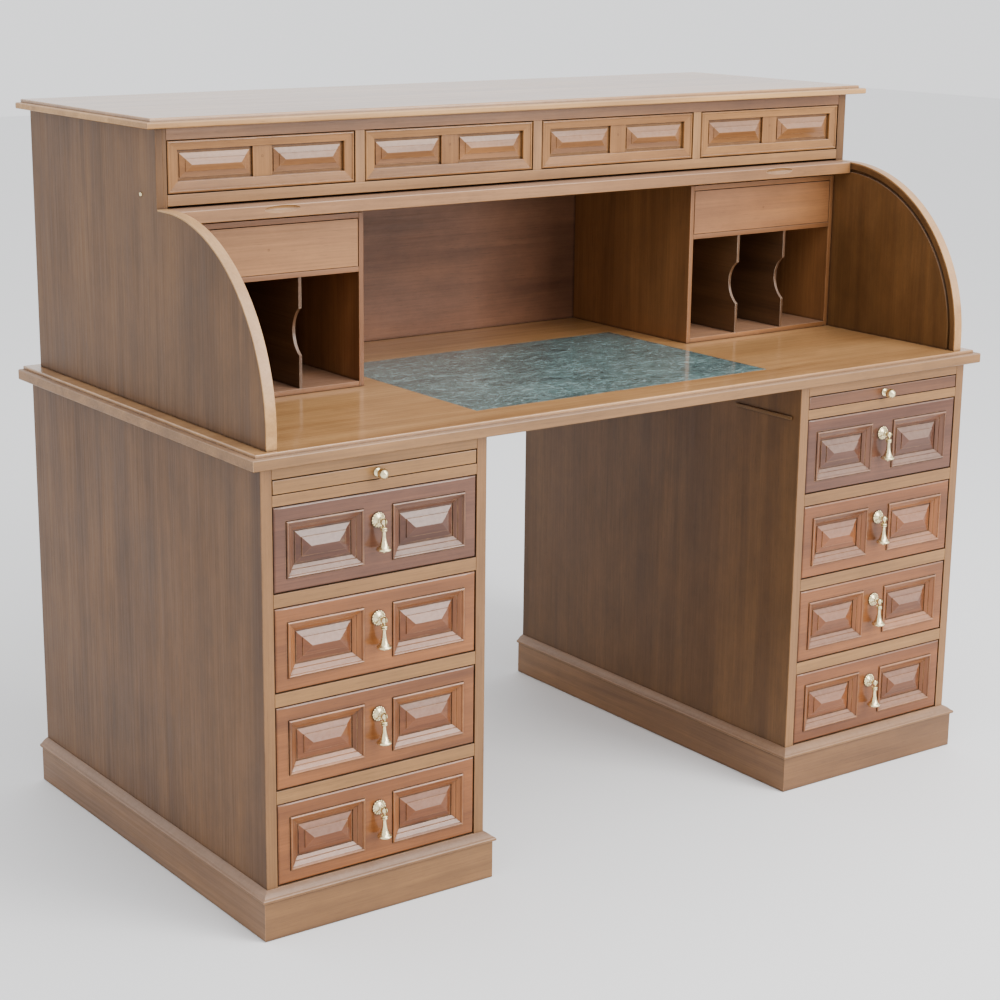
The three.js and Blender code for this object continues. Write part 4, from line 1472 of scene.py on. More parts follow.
@dataclass
class Pedestal:
    """One pedestal: plinth, carcass, runner frame, four drawers with pulls and a writing slide."""

    side: Side
    drawer_count: int = 4
    lipping: float = 2.5
    lipping_tone: float = -0.2
    screw_inset: float = 9.0
    screw_rows: int = 6
    rail_depth: float = 45.0
    runner_width: float = 26.0
    runner_height: float = 14.0
    back_rail_depth: float = 40.0
    post: float = 16.0
    drawer_slack: float = 1.2
    slide_headroom: float = 1.8
    cleat_thickness: float = 3.0
    cleat_span: tuple[float, float] = (20.0, 160.0)
    cleat_levels: tuple[float, float] = (668.0, 674.0)
    # How much lighter the cleat is drawn, as a painted highlight.
    cleat_highlight: float = 2.0
    slide_lip: float = 22.0
    slide_lip_radius: float = 1.6
    leaf_thickness: float = 12.0
    leaf_gap: float = 1.0

    def build(self) -> None:
        """Builds every piece of the pedestal."""
        word = self.side.word
        outer = Block.of(f"{word}_pedestal_outer_side")
        inner = Block.of(f"{word}_pedestal_inner_side")
        self.build_panel(f"{word}_outer_panel", f"{word}_pedestal_outer_side", outer)
        self.build_panel(f"{word}_inner_panel", f"{word}_pedestal_inner_side", inner)
        self.build_back()
        self.build_runner_frame()
        Plinth(self.side).build(outer, inner)
        self.build_cleat(inner)
        self.build_slide()
        for index in range(1, self.drawer_count + 1):
            node = f"{word}_drawer_{index}"
            finish = DARK_DRAWER_WALNUT if index == 1 else DRAWER_WALNUT
            front = PanelledFront().build(f"{word}_drawer_front_{index}", node, node, finish)
            DrawerBox().build(f"{word}_drawer_box_{index}", node, Block.of(node), front)
            Pull(self.side, index).build()

    def build_panel(self, name: str, node: str, block: Block) -> None:
        """Builds a side panel and the pale strip glued to its front edge.

        Args:
            name: The panel's name.
            node: The frame node that it replaces.
            block: The node's box.
        """
        split = block.low.y + self.lipping * MM
        panel = Piece(name, PANEL_WALNUT, stands_for=(node,))
        panel.add(board(block.cut(y=(split, block.high.y)), 0.5), Axis.Z)
        panel.finish_up()
        strip = Piece(name + "_lipping", RAIL_WALNUT)
        strip.add(board(block.cut(y=(block.low.y, split)), 0.6, 2), Axis.Z, tone=self.lipping_tone)
        strip.finish_up()

    def build_back(self) -> None:
        """Builds the back panel and the screws that hold it."""
        word = self.side.word
        block = Block.of(f"{word}_pedestal_back")
        piece = Piece(f"{word}_back_panel", BACK_WALNUT, stands_for=(f"{word}_pedestal_back",))
        piece.add(board(block, 0.5), Axis.Z)
        piece.finish_up()
        inset = self.screw_inset * MM
        places = []
        for row in range(self.screw_rows):
            z = block.low.z + inset + (block.size.z - 2 * inset) * row / (self.screw_rows - 1)
            places += [Vector((x, block.high.y, z)) for x in (block.low.x + inset, block.high.x - inset)]
        screw_heads(f"{word}_back_screws", places, Facing.FRONT, -1)

    def build_runner_frame(self) -> None:
        """Builds the rails, the runners behind them and the two back posts."""
        word = self.side.word
        node = f"{word}_runner_frame"
        whole = Block.of(node)
        low, high = whole.low, whole.high
        rail_back, width, post = low.y + self.rail_depth * MM, self.runner_width * MM, self.post * MM
        front_rails = Piece(f"{word}_front_rails", RAIL_WALNUT)
        runners = Piece(f"{word}_runners", BACK_WALNUT, stands_for=(node,))
        for z0, z1 in self.rail_levels(whole):
            front_rails.add(board(whole.cut(y=(low.y, rail_back), z=(z0, z1)), 0.5))
            shelf = (z1 - self.runner_height * MM, z1)
            for span in ((low.x, low.x + width), (high.x - width, high.x)):
                runners.add(board(whole.cut(x=span, y=(rail_back, high.y), z=shelf), 0.5), Axis.Y)
            back_y = (high.y - self.back_rail_depth * MM, high.y)
            runners.add(board(whole.cut(x=(low.x + width, high.x - width), y=back_y, z=shelf), 0.5))
        for span in ((low.x, low.x + post), (high.x - post, high.x)):
            runners.add(board(whole.cut(x=span, y=(high.y - post, high.y)), 0.5), Axis.Z)
        front_rails.finish_up()
        runners.finish_up()

    def rail_levels(self, whole: Block) -> list[tuple[float, float]]:
        """Works out each rail's bottom and top from the drawers and the slide around it.

        Args:
            whole: The runner frame's box.

        Returns:
            Each rail's bottom and top, in metres.
        """
        word = self.side.word
        slack = self.drawer_slack * MM
        drawers = [Block.of(f"{word}_drawer_{index}") for index in range(1, self.drawer_count + 1)]
        slide = Block.of(f"{word}_writing_slide")
        levels = [(whole.low.z, drawers[-1].low.z - slack)]
        levels += [(low.high.z + slack, high.low.z - slack) for high, low in zip(drawers, drawers[1:])]
        levels.append((drawers[0].high.z + slack, slide.low.z - slack))
        levels.append((slide.high.z + self.slide_headroom * MM, whole.high.z))
        return levels

    def build_cleat(self, inner: Block) -> None:
        """Builds the thin strip high on the kneehole side, under the top, drawn lighter as a painted highlight of its
        lit edges.

        Args:
            inner: The inner side panel's box.
        """
        face = inner.low.x if self.side is Side.RIGHT else inner.high.x
        proud = face - self.side.value * self.cleat_thickness * MM
        y0, y1 = (inner.low.y + reach * MM for reach in self.cleat_span)
        z0, z1 = (level * MM for level in self.cleat_levels)
        piece = Piece(f"{self.side.word}_kneehole_cleat", PANEL_WALNUT)
        cleat = Block(Vector((min(face, proud), y0, z0)), Vector((max(face, proud), y1, z1)))
        # Lighter tone: painted highlight where the strip's edges catch the light.
        piece.add(board(cleat, 0.6), Axis.Y, tone=self.cleat_highlight)
        piece.finish_up()

    def build_slide(self) -> None:
        """Builds the pull-out writing slide and its turned knob."""
        word = self.side.word
        node = f"{word}_writing_slide"
        whole = Block.of(node)
        finish = DARK_RAIL_WALNUT if self.side is Side.RIGHT else RAIL_WALNUT
        piece = Piece(f"{word}_slide_board", finish, node, (node,))
        split, gap = whole.low.y + self.slide_lip * MM, self.leaf_gap * MM
        lip = board(whole.cut(y=(whole.low.y, split)), 0)
        rim = [e for e in lip.edges if all(v.co.y < split - 0.001 for v in e.verts)]
        bevel(lip, rim, self.slide_lip_radius, 3)
        piece.add(lip, crease=30)
        leaf = whole.cut(x=(whole.low.x + gap, whole.high.x - gap), y=(split - gap, whole.high.y))
        piece.add(board(leaf.cut(z=(whole.low.z, whole.low.z + self.leaf_thickness * MM)), 0.6), Axis.Y)
        piece.finish_up()
        knob_node = f"{word}_slide_knob"
        knob = Block.of(knob_node)
        turned = Piece(f"{word}_turned_knob", BRASS, node, (knob_node,))
        profile = [
            (0, 0), (7.2, 0), (7.2, 0.9), (6.0, 2.0), (4.2, 2.6), (3.1, 3.6), (2.9, 5.0), (3.6, 6.2),
            (4.9, 6.8), (6.4, 8.2), (7.9, 10.6), (8.5, 13.6), (8.1, 16.8), (6.9, 19.6), (5.0, 21.6),
            (2.6, 23.0), (0, 23.4),
        ]
        origin = Vector((knob.centre.x, knob.high.y, knob.centre.z))
        turned.add(revolve(profile, origin, Facing.FRONT, 40), crease=60)
        turned.finish_up()


@dataclass
class Plinth:
    """The hollow base under a pedestal: moulded boards, a back board and a ledge."""

    side: Side
    board_height: float = 62.0
    back_thickness: float = 16.0
    back_overhang: float = 10.0
    ledge_reach: float = 30.0
    ledge_start: float = 15.8
    ledge_thickness: float = 12.0

    def build(self, outer: Block, inner: Block) -> None:
        """Builds the plinth.

        Args:
            outer: The outer side panel's box.
            inner: The inner side panel's box.
        """
        node = f"{self.side.word}_plinth"
        low = (min(outer.low.x, inner.low.x), outer.low.y)
        high = (max(outer.high.x, inner.high.x), outer.high.y)
        piece = Piece(f"{self.side.word}_plinth_boards", PLINTH_WALNUT, stands_for=(node,))
        for profile in (self.board_profile(), self.moulding_profile()):
            piece.add_ring(self.three_sided(low, high, profile), low, high, Plane.PLAN, 25)
        wide = self.back_overhang * MM
        back = Block(
            Vector((low[0] - wide, high[1] - self.back_thickness * MM, 0.0)),
            Vector((high[0] + wide, high[1], self.board_height * MM)),
        )
        piece.add(board(back, 0.5))
        self.add_ledge(piece, low, high)
        piece.finish_up()

    def three_sided(self, low: Corner, high: Corner, profile: Profile) -> bmesh.types.BMesh:
        """Wraps a profile round the front and both ends, and cuts it flush at the back.

        Args:
            low: The carcass's lower corner in plan, in metres.
            high: The carcass's upper corner in plan, in metres.
            profile: The closed profile, in millimetres.

        Returns:
            The moulding's mesh.
        """
        shell = ring(low, high, 0.0, profile, Plane.PLAN)
        bmesh.ops.edgenet_fill(shell, edges=slice_at(shell, Vector((0, high[1], 0)), Vector((0, 1, 0)), clear=True))
        bmesh.ops.recalc_face_normals(shell, faces=shell.faces[:])
        return shell

    def board_profile(self) -> Profile:
        """Gives the upright board, eased at its foot."""
        return [(10.4, 0.0), (11.0, 0.8), (11.0, self.board_height), (-16.0, self.board_height), (-16.0, 0.0)]

    def moulding_profile(self) -> Profile:
        """Gives the lip and the slope that meet the carcass."""
        z = self.board_height
        return [
            (10.6, z - 0.4), (12.6, z + 0.5), (14.6, z + 1.2), (15.5, z + 2.6), (15.4, z + 4.8),
            (14.2, z + 6.4), (12.4, z + 7.0), (11.2, z + 8.0), (8.4, z + 11.0), (4.8, z + 13.6),
            (2.0, z + 15.0), (0.4, z + 16.0), (0.4, z - 0.4),
        ]

    def add_ledge(self, piece: Piece, low: Corner, high: Corner) -> None:
        """Adds the ledge that carries the carcass.

        Args:
            piece: The plinth.
            low: The carcass's lower corner in plan, in metres.
            high: The carcass's upper corner in plan, in metres.
        """
        top, under = self.board_height * MM, (self.board_height - self.ledge_thickness) * MM
        ledge, wall = self.ledge_reach * MM, self.ledge_start * MM
        spans = [
            ((low[0] + wall, low[0] + ledge), (low[1] + wall, high[1] - wall)),
            ((high[0] - ledge, high[0] - wall), (low[1] + wall, high[1] - wall)),
            ((low[0] + ledge, high[0] - ledge), (low[1] + wall, low[1] + ledge)),
            ((low[0] + ledge, high[0] - ledge), (high[1] - ledge, high[1] - wall)),
        ]
        for (x0, x1), (y0, y1) in spans:
            slat = Block(Vector((x0, y0, under)), Vector((x1, y1, top)))
            piece.add(board(slat, 0.5), Axis.Y if x1 - x0 < 0.1 else Axis.X)


# ------------------------------------------------------------------------------- hutch


@dataclass
class HutchSides:
    """The two quarter-round ends of the hutch, grooved inside for the tambour."""

    groove: float = 6.0
    groove_depth: float = 6.0
    band: float = 3.0
    foot_straight: float = 22.5
    case_setback: float = 27.5
    track_inset: float = 15.5
    skin_lap: float = 0.2
    back_gap: float = 0.4
    end_tone: float = 0.5
    arch_tone: float = 0.4
    stud_from_case: Corner = (52.0, 15.0)

    def build(self) -> None:
        """Builds both ends with the band glued round each curved edge."""
        for side in Side:
            self.build_end(side)
        self.build_stud()

    def build_end(self, side: Side) -> None:
        """Builds one end.

        Args:
            side: Which end.
        """
        node = f"hutch_{side.word}_side"
        block = Block.of(node)
        case = Block.of("upper_drawer_case")
        radius = case.low.y - block.low.y - self.case_setback * MM
        centre_y, centre_z = block.low.y + radius, block.low.z + self.foot_straight * MM
        front, top = case.low.y, block.high.z
        inner_face = block.high.x if side is Side.LEFT else block.low.x
        depth = self.groove_depth * MM
        core_low = block.low.x if side is Side.LEFT else inner_face + depth
        piece = Piece(f"{side.word}_hutch_end", PANEL_WALNUT, stands_for=(node,))
        rim = radius - self.band * MM
        core = self.full_outline(core_low, block, centre_y, centre_z, rim, front, top)
        piece.add(core.board(block.size.x - depth, 0.6), Axis.Z, crease=30, tone=self.end_tone)
        skin = depth + self.skin_lap * MM
        skin_x = inner_face - skin if side is Side.LEFT else inner_face
        track = radius - self.track_inset * MM
        half = self.groove / 2 * MM
        back = Block.of("hutch_back").low.y
        outside = Outline(skin_x, centre_y - rim, block.low.z).line(centre_y - rim, centre_z)
        outside.arc(centre_y, centre_z, -90).line(front, centre_z + rim)
        outside.line(front, top).line(block.high.y, top).line(block.high.y, block.low.z)
        outside.line(back, block.low.z).line(back, centre_z + track + half)
        outside.line(centre_y, centre_z + track + half).arc(centre_y, centre_z, 90)
        outside.line(centre_y - track - half, block.low.z)
        piece.add(outside.board(skin, 0.5), Axis.Z, crease=30, tone=self.end_tone)
        behind = back - self.back_gap * MM
        inside = Outline(skin_x, centre_y - track + half, block.low.z).line(centre_y - track + half, centre_z)
        inside.arc(centre_y, centre_z, -90).line(behind, centre_z + track - half).line(behind, block.low.z)
        piece.add(inside.board(skin, 0.5), Axis.Z, crease=30, tone=self.arch_tone)
        piece.finish_up()
        strip = Piece(f"{side.word}_hutch_edge_band", PALE_EDGE_WALNUT)
        band = Outline(block.low.x, centre_y - rim, block.low.z).line(centre_y - rim, centre_z)
        band.arc(centre_y, centre_z, -90).line(front, centre_z + rim).line(front, centre_z + radius)
        band.line(centre_y, centre_z + radius).arc(centre_y, centre_z, 90)
        band.line(centre_y - radius, block.low.z)
        strip.add(band.board(block.size.x, 1.0), Axis.Y, crease=30)
        strip.finish_up()

    @staticmethod
    def full_outline(
        x: float, block: Block, centre_y: float, centre_z: float, rim: float, front: float, top: float
    ) -> Outline:
        """Draws the whole outline of an end inside its edge band.

        Args:
            x: The outline's X, in metres.
            block: The end's box.
            centre_y: The Y of the arc's centre.
            centre_z: The Z of the arc's centre.
            rim: The arc's radius inside the band.
            front: The Y of the upper case's front.
            top: The Z of the end's top.

        Returns:
            The outline, still open.
        """
        outline = Outline(x, centre_y - rim, block.low.z).line(centre_y - rim, centre_z)
        outline.arc(centre_y, centre_z, -90).line(front, centre_z + rim)
        return outline.line(front, top).line(block.high.y, top).line(block.high.y, block.low.z)

    def build_stud(self) -> None:
        """Builds the small brass stud near the left end's front edge."""
        end = Block.of("hutch_left_side")
        case = Block.of("upper_drawer_case")
        along, up = self.stud_from_case
        place = Vector((end.low.x, case.low.y + along * MM, case.low.z + up * MM))
        piece = Piece("left_end_stud", BRASS)
        stud = revolve([(0, -1), (3.6, -1), (3.6, 0.6), (2.6, 1.8), (1.2, 2.4), (0, 2.5)], Vector(), Facing.OUTWARD, 20)
        bmesh.ops.rotate(stud, verts=stud.verts[:], matrix=Matrix.Rotation(math.pi, 3, "Z"))
        bmesh.ops.translate(stud, verts=stud.verts[:], vec=place)
        piece.add(stud, crease=40)
        piece.finish_up()


@dataclass
class Hutch:
    """The hutch's top, back, upper case, upper drawers and inner back."""

    drawers: int = 4
    top_shape: TwoTierBoard = TwoTierBoard(edge_radius=2.2)
    top_tone: float = 0.4
    drawer_slack: float = 1.2
    rail_depth: float = 18.0
    deck: float = 8.0
    # How much darker the top rail is drawn, as painted shade under the hutch top.
    top_rail_shade: float = -1.8
    screw_columns: int = 9
    screw_inset: float = 12.0
    drawer_box: DrawerBox = DrawerBox(9.0, 5.0, 6.0, 2, side_gap=1.8, lift=0.5, headroom=10.0)

    def build(self) -> None:
        """Builds the hutch's pieces."""
        self.build_top()
        self.build_case()
        self.build_backs()
        for index in range(1, self.drawers + 1):
            node = f"upper_drawer_{index}"
            front = UpperFront().build(f"upper_front_{index}", node, node)
            self.drawer_box.build(f"upper_box_{index}", node, Block.of(node), front)

    def build_top(self) -> None:
        """Builds the hutch's top board in two tiers, like the main top."""
        top = Block.of("hutch_top")
        lower = Piece("hutch_top_edge", PALE_EDGE_WALNUT)
        lower.add(self.top_shape.lower(top))
        lower.finish_up()
        upper = Piece("hutch_top_field", TOP_WALNUT, stands_for=("hutch_top",))
        upper.add(self.top_shape.upper(top), tone=self.top_tone)
        upper.finish_up()

    def build_case(self) -> None:
        """Builds the upper case: rails, deck and partitions with a pale front edge."""
        whole = Block.of("upper_drawer_case")
        drawers = [Block.of(f"upper_drawer_{index}") for index in range(1, self.drawers + 1)]
        slack = self.drawer_slack * MM
        floor, ceiling = drawers[0].low.z - slack, drawers[0].high.z + slack
        face = (whole.low.y, whole.low.y + self.rail_depth * MM)
        rails = Piece("upper_case_rails", CASE_WALNUT)
        rails.add(board(whole.cut(y=face, z=(whole.low.z, floor)), 0.7, 2))
        # The top rail is drawn darker as painted shade under the hutch top.
        rails.add(board(whole.cut(y=face, z=(ceiling, whole.high.z)), 0.5), tone=self.top_rail_shade)
        carcass = Piece("upper_case_boards", BACK_WALNUT, stands_for=("upper_drawer_case",))
        deck = whole.cut(y=(face[1] - 0.0005, whole.high.y), z=(floor - self.deck * MM, floor))
        carcass.add(board(deck, 0.4))
        for left, right in zip(drawers, drawers[1:]):
            span = (left.high.x + slack, right.low.x - slack)
            rails.add(board(whole.cut(x=span, y=face, z=(floor, ceiling)), 0.5), Axis.Z)
            carcass.add(board(whole.cut(x=span, y=(face[1], whole.high.y), z=(floor, whole.high.z)), 0.4), Axis.Y)
        rails.finish_up()
        carcass.finish_up()

    def build_backs(self) -> None:
        """Builds the outer back with its screws, and the dark board behind the writing space."""
        back = Block.of("hutch_back")
        outer = Piece("hutch_back_panel", BACK_WALNUT, stands_for=("hutch_back",))
        outer.add(board(back, 0.5))
        outer.finish_up()
        inset = self.screw_inset * MM
        places = []
        for column in range(self.screw_columns):
            x = back.low.x + inset + (back.size.x - 2 * inset) * column / (self.screw_columns - 1)
            places += [Vector((x, back.high.y, z)) for z in (back.low.z + inset, back.high.z - inset)]
        screw_heads("hutch_back_screws", places, Facing.FRONT, -1)
        inner = Piece("writing_space_back", INNER_BACK_WALNUT, stands_for=("interior_back",))
        inner.add(board(Block.of("interior_back"), 0.5))
        inner.finish_up()


@dataclass
class PigeonholeUnit:
    """One pigeonhole unit: boards, two scalloped dividers and a small drawer above them."""

    side: Side
    board_thickness: float = 9.0
    shelf_thickness: float = 8.5
    divider_thickness: float = 5.5
    holes: int = 3
    scallop_radius: float = 46.0
    scallop_depth: float = 21.5
    scallop_from_shelf: float = 88.0
    front_thickness: float = 9.0
    front_tones: tuple[float, float] = (1.2, -0.2)
    drawer_box: DrawerBox = DrawerBox(6.0, 4.0, 4.0, 2, side_gap=1.0, lift=0.0, headroom=8.0)

    def build(self) -> None:
        """Builds the unit and its drawer."""
        word = self.side.word
        node = f"{word}_pigeonhole_unit"
        whole = Block.of(node)
        drawer = Block.of(f"{word}_small_drawer")
        thick, shelf = self.board_thickness * MM, self.shelf_thickness * MM
        shelf_top = drawer.low.z - 0.0006
        shelf_bottom = shelf_top - shelf
        inside = (whole.low.x + thick, whole.high.x - thick)
        boards = Piece(f"{word}_unit_boards", INTERIOR_WALNUT, stands_for=(node,))
        for span in ((whole.low.x, inside[0]), (inside[1], whole.high.x)):
            boards.add(board(whole.cut(x=span), 0.6), Axis.Z)
        for z0, z1 in (
            (whole.low.z, whole.low.z + shelf),
            (shelf_bottom, shelf_top),
            (whole.high.z - shelf, whole.high.z),
        ):
            boards.add(board(whole.cut(x=inside, z=(z0, z1)), 0.5))
        boards.finish_up()
        dividers = Piece(f"{word}_unit_dividers", DIVIDER_WALNUT)
        width = self.divider_thickness * MM
        pitch = (inside[1] - inside[0] + width) / self.holes
        for number in range(1, self.holes):
            x = inside[0] + number * pitch - width
            dividers.add(self.divider(x, width, whole, whole.low.z + shelf, shelf_bottom), Axis.Y, crease=30)
        dividers.finish_up()
        self.build_drawer(drawer)

    def divider(self, x: float, width: float, whole: Block, z0: float, z1: float) -> bmesh.types.BMesh:
        """Makes one divider, whose front edge is scooped out for a hand.

        Args:
            x: The divider's left side, in metres.
            width: Its thickness, in metres.
            whole: The unit's box.
            z0: Its bottom, in metres.
            z1: Its top, in metres.

        Returns:
            The divider's mesh.
        """
        front, back = whole.low.y + 0.001, whole.high.y
        radius, depth = self.scallop_radius * MM, self.scallop_depth * MM
        centre_y = whole.low.y + depth - radius
        centre_z = z1 - self.scallop_from_shelf * MM
        reach = math.sqrt(radius**2 - (front - centre_y) ** 2)
        half = math.degrees(math.asin(reach / radius))
        outline = Outline(x, front, z0).line(front, centre_z - reach)
        outline.arc(centre_y, centre_z, 2 * half, 24).line(front, z1).line(back, z1).line(back, z0)
        return outline.board(width, 0.9)

    def build_drawer(self, drawer: Block) -> None:
        """Builds the small drawer's plain front, its empty screw hole and its box.

        Args:
            drawer: The drawer's box.
        """
        word = self.side.word
        name = f"{word}_small_drawer"
        front = drawer.cut(y=(drawer.low.y, drawer.low.y + self.front_thickness * MM))
        face = Piece(f"{word}_small_front", SMALL_FRONT_WALNUT, name, (name,))
        face.add(board(front, 0.9, 2), tone=self.front_tones[0 if self.side is Side.LEFT else 1])
        face.finish_up()
        screw_hole(f"{word}_small_hole", name, Vector((front.centre.x, front.low.y, front.centre.z)))
        self.drawer_box.build(f"{word}_small_box", name, drawer, front)


# ------------------------------------------------------------------------------- tambour


@dataclass
class Tambour:
    """The roll top: a lift rail with two finger grips, and slats on canvas in five stretches."""

    sections: int = 5
    slats: int = 4
    track_radius: float = 274.5
    thickness: float = 6.0
    canvas: float = 0.8
    grip_length: float = 66.0
    grip_from_end: float = 178.0
    grip_drop: float = 6.4
    grip_depth: float = 9.0
    grip_height: float = 5.8
    grip_ahead: float = 2.0
    grip_tone: float = 2.0
    slat_gap: float = 0.9
    crown_radius: float = 3.6
    canvas_inset: float = 20.0
    canvas_steps: int = 12

    def build(self) -> None:
        """Builds the rail and the curtain."""
        self.build_rail()
        for index in range(1, self.sections + 1):
            self.build_section(index)

    def build_rail(self) -> None:
        """Builds the lift rail with scooped grips in its upper front edge."""
        block = Block.of("tambour_lift_rail")
        piece = Piece("tambour_rail", TAMBOUR_WALNUT, "tambour_rail", ("tambour_lift_rail",))
        shell = board(block, 0)
        long_edges = [e for e in shell.edges if abs(e.verts[0].co.x - e.verts[1].co.x) > 0.5]
        bevel(shell, long_edges, 1.4, 3)
        piece.add(shell, crease=40)
        rail = piece.finish_up()
        for side in Side:
            self.scoop(rail, block, side)

    def scoop(self, rail: bpy.types.Object, block: Block, side: Side) -> None:
        """Cuts one finger grip out of the rail with a stretched ball.

        Args:
            rail: The rail.
            block: The rail's box.
            side: The end that the grip is nearer to.
        """
        tool_mesh = bpy.data.meshes.new("grip_tool")
        tool = bmesh.new()
        end = block.high.x if side is Side.RIGHT else block.low.x
        reach = self.grip_from_end * MM
        ahead, drop = self.grip_ahead * MM, self.grip_drop * MM
        centre = Vector((end - side.value * reach, block.low.y - ahead, block.high.z - drop))
        size = Matrix.Diagonal((self.grip_length / 2 * MM, self.grip_depth * MM, self.grip_height * MM, 1.0))
        bmesh.ops.create_uvsphere(
            tool, u_segments=40, v_segments=24, radius=1.0, matrix=Matrix.Translation(centre) @ size
        )
        tool.to_mesh(tool_mesh)
        tool.free()
        cutter = bpy.data.objects.new("grip_tool", tool_mesh)
        bpy.context.scene.collection.objects.link(cutter)
        cut = rail.modifiers.new("grip", "BOOLEAN")
        cut.operation = "DIFFERENCE"
        cut.solver = "EXACT"
        cut.object = cutter
        bpy.context.view_layer.update()
        graph = bpy.context.evaluated_depsgraph_get()
        done = bpy.data.meshes.new_from_object(rail.evaluated_get(graph))
        rail.modifiers.remove(cut)
        rail.data = done
        bpy.data.objects.remove(cutter)
        self.tint_scoop(done, centre)

    def tint_scoop(self, rail: bpy.types.Mesh, centre: Vector) -> None:
        """Runs the rail's grain on through a scoop, and pales the scoop's own surface.

        Args:
            rail: The rail's mesh after the cut.
            centre: The scoop's centre, in metres.
        """
        along, shade = rail.attributes["grain"].data, rail.attributes["tone"].data
        reach, rim = self.grip_length / 2 * MM, 0.4 * MM
        front, floor = centre.y + self.grip_ahead * MM + rim, centre.y + (self.grip_depth + 0.5) * MM
        for vert in rail.vertices:
            along[vert.index].vector = vert.co + Vector((1.7, 0.4, 2.2))
            inside = abs(vert.co.x - centre.x) < reach and front < vert.co.y < floor
            if inside and vert.co.z > centre.z - self.grip_height * MM:
                shade[vert.index].value = self.grip_tone

    def build_section(self, index: int) -> None:
        """Builds one stretch of slats, bowed to the track's radius, with its canvas.

        Args:
            index: The stretch's number from the rail.
        """
        node = f"tambour_section_{index}"
        block = Block.of(node)
        radius = self.track_radius * MM
        half = self.thickness / 2 * MM
        centre = Vector((0, block.centre.y, block.high.z - radius - half))
        sweep = 2 * math.asin(min(1.0, block.size.y / 2 / (radius + half)))
        covered = sweep - 2 * self.canvas * MM / radius
        piece = Piece(f"tambour_slats_{index}", TAMBOUR_WALNUT, node, (node,))
        pitch = sweep / self.slats
        width = pitch * radius - self.slat_gap * MM
        for number in range(self.slats):
            angle = -sweep / 2 + (number + 0.5) * pitch
            slat = Block(
                Vector((block.low.x, -width / 2, radius - half + self.canvas * MM)),
                Vector((block.high.x, width / 2, radius + half - 0.0002)),
            )
            shell = board(slat, 0)
            crown = [e for e in shell.edges if all(v.co.z > radius for v in e.verts)]
            crown = [e for e in crown if abs(e.verts[0].co.x - e.verts[1].co.x) > 0.5]
            bevel(shell, crown, self.crown_radius, 5)
            bmesh.ops.rotate(shell, verts=shell.verts[:], matrix=Matrix.Rotation(-angle, 3, "X"))
            bmesh.ops.translate(shell, verts=shell.verts[:], vec=centre)
            piece.add(shell, crease=40)
        slats = piece.finish_up()
        self.build_canvas(index, node, block, centre, radius - half, covered)

    def build_canvas(
        self,
        index: int,
        node: str,
        block: Block,
        centre: Vector,
        radius: float,
        sweep: float,
    ) -> None:
        """Builds the canvas strip glued under one stretch of slats.

        Args:
            index: The stretch's number from the rail.
            node: The body that it moves with.
            block: The stretch's box.
            centre: The centre that it is bowed round, in metres.
            radius: The radius of its underside, in metres.
            sweep: The angle that it covers, in radians.
        """
        inset = self.canvas_inset * MM
        outline = Outline(block.low.x + inset, centre.y - math.sin(sweep / 2) * radius, 0)
        outline.start.co.z = centre.z + math.cos(sweep / 2) * radius
        turn = math.degrees(sweep)
        outline.arc(centre.y, centre.z, -turn, self.canvas_steps)
        grown = radius + self.canvas * MM
        end = centre + Vector((0, math.sin(sweep / 2) * grown, math.cos(sweep / 2) * grown))
        outline.line(end.y, end.z).arc(centre.y, centre.z, turn, self.canvas_steps)
        piece = Piece(f"tambour_canvas_{index}", CANVAS, node)
        piece.add(outline.board(block.size.x - 2 * inset, 0), crease=40)
        strip = piece.finish_up()


# ------------------------------------------------------------------------------- studio


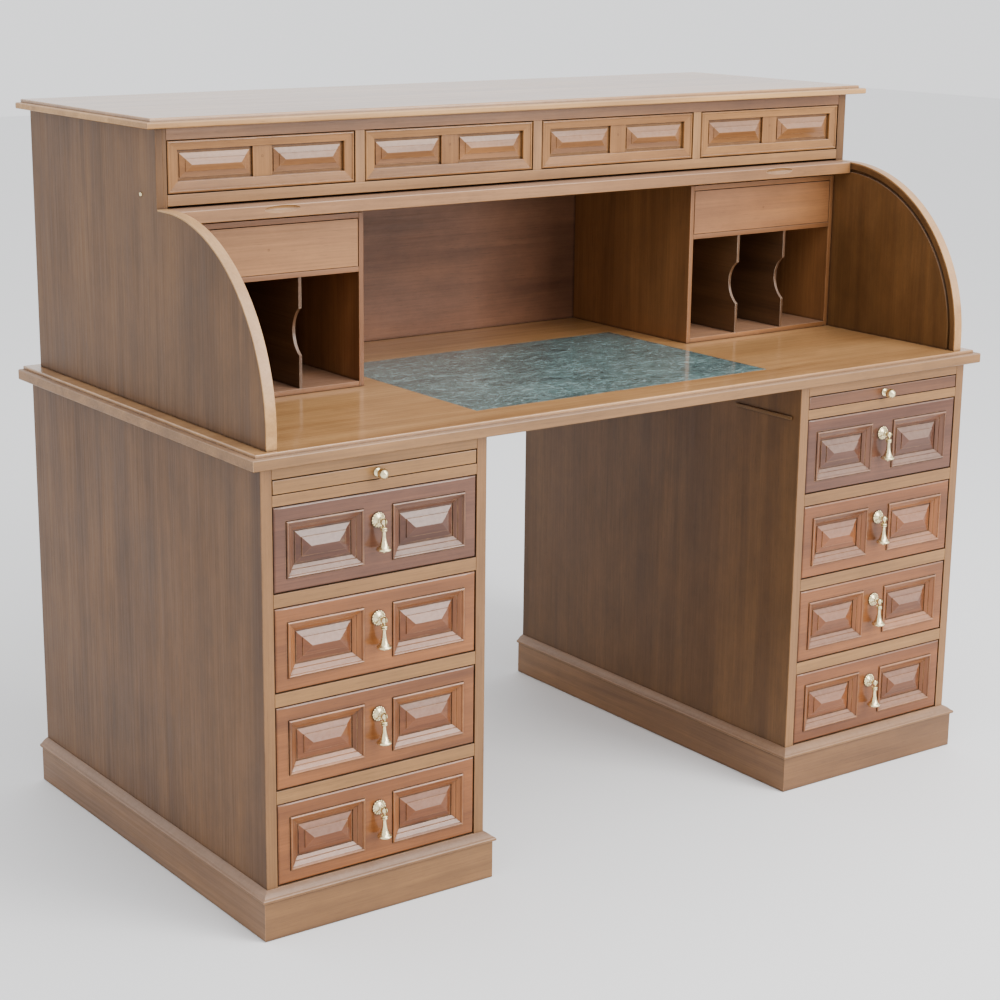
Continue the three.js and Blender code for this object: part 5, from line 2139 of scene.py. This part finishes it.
@dataclass
class Studio:
    """A pale floor, soft light and the camera."""

    azimuth: float = -34.852
    elevation: float = 14.371
    roll: float = 0.309
    lens: float = 78.18
    shift: tuple[float, float] = (0.0531, -0.0078)
    place: tuple[float, float, float] = (-2.2292, -2.9996, 1.4675)

    def build(self) -> None:
        """Builds the floor, the lights and the camera."""
        self.build_camera()
        self.build_floor()
        self.build_lights()

    def build_camera(self) -> None:
        """Places the camera."""
        data = bpy.data.cameras.new("camera")
        data.lens, data.sensor_width = self.lens, 36.0
        data.shift_x, data.shift_y = self.shift
        camera = bpy.data.objects.new("camera", data)
        bpy.context.scene.collection.objects.link(camera)
        turn = Matrix.Rotation(math.radians(self.azimuth), 4, "Z")
        tilt = Matrix.Rotation(math.radians(90 - self.elevation), 4, "X")
        lean = Matrix.Rotation(math.radians(self.roll), 4, "Z")
        camera.matrix_world = Matrix.Translation(self.place) @ turn @ tilt @ lean
        bpy.context.scene.camera = camera

    def build_floor(self) -> None:
        """Builds the pale floor."""
        data = bpy.data.meshes.new("floor")
        shell = bmesh.new()
        bmesh.ops.create_grid(shell, x_segments=1, y_segments=1, size=14.0)
        shell.to_mesh(data)
        shell.free()
        floor = bpy.data.objects.new("floor", data)
        floor.location = (0, 0, -0.0005)
        bpy.context.scene.collection.objects.link(floor)
        made, graph = new_material("pale_floor")
        graph.shade({"Base Color": (0.86, 0.86, 0.86, 1), "Roughness": 0.7})
        data.materials.append(made)

    def build_lights(self) -> None:
        """Builds the sky and the soft area lights."""
        world = bpy.data.worlds.new("soft_sky")
        bpy.context.scene.world = world
        world.use_nodes = True
        sky = world.node_tree.nodes["Background"]
        sky.inputs["Color"].default_value = (0.97, 0.98, 1.0, 1)
        sky.inputs["Strength"].default_value = 1.5
        self.area("window", (1.75, -3.6, 1.95), 1.9, 135, (1.0, 0.98, 0.95))
        self.area("overhead", (0.6, -2.4, 3.7), 2.6, 130, (0.97, 0.98, 1.0))

    @staticmethod
    def area(name: str, place: tuple[float, float, float], size: float, power: float, colour: Colour) -> None:
        """Adds one square light aimed at the desk's middle.

        Args:
            name: The light's name.
            place: Where it hangs, in metres.
            size: Its side, in metres.
            power: Its power in watts.
            colour: Its colour.
        """
        data = bpy.data.lights.new(name, "AREA")
        data.size, data.energy, data.color = size, power, colour
        light = bpy.data.objects.new(name, data)
        light.location = place
        aim = Vector((0, 0, 0.6)) - Vector(place)
        light.rotation_euler = aim.to_track_quat("-Z", "Y").to_euler()
        bpy.context.scene.collection.objects.link(light)


def main() -> None:
    """Builds the desk piece by piece."""
    logging.basicConfig(level=logging.INFO, format="%(name)s: %(message)s")
    Studio().build()
    WritingTop().build()
    for side in Side:
        Pedestal(side).build()
    HutchSides().build()
    Hutch().build()
    for side in Side:
        PigeonholeUnit(side).build()
    Tambour().build()
    log.info("sizes written")


if __name__ == "__main__":
    main()
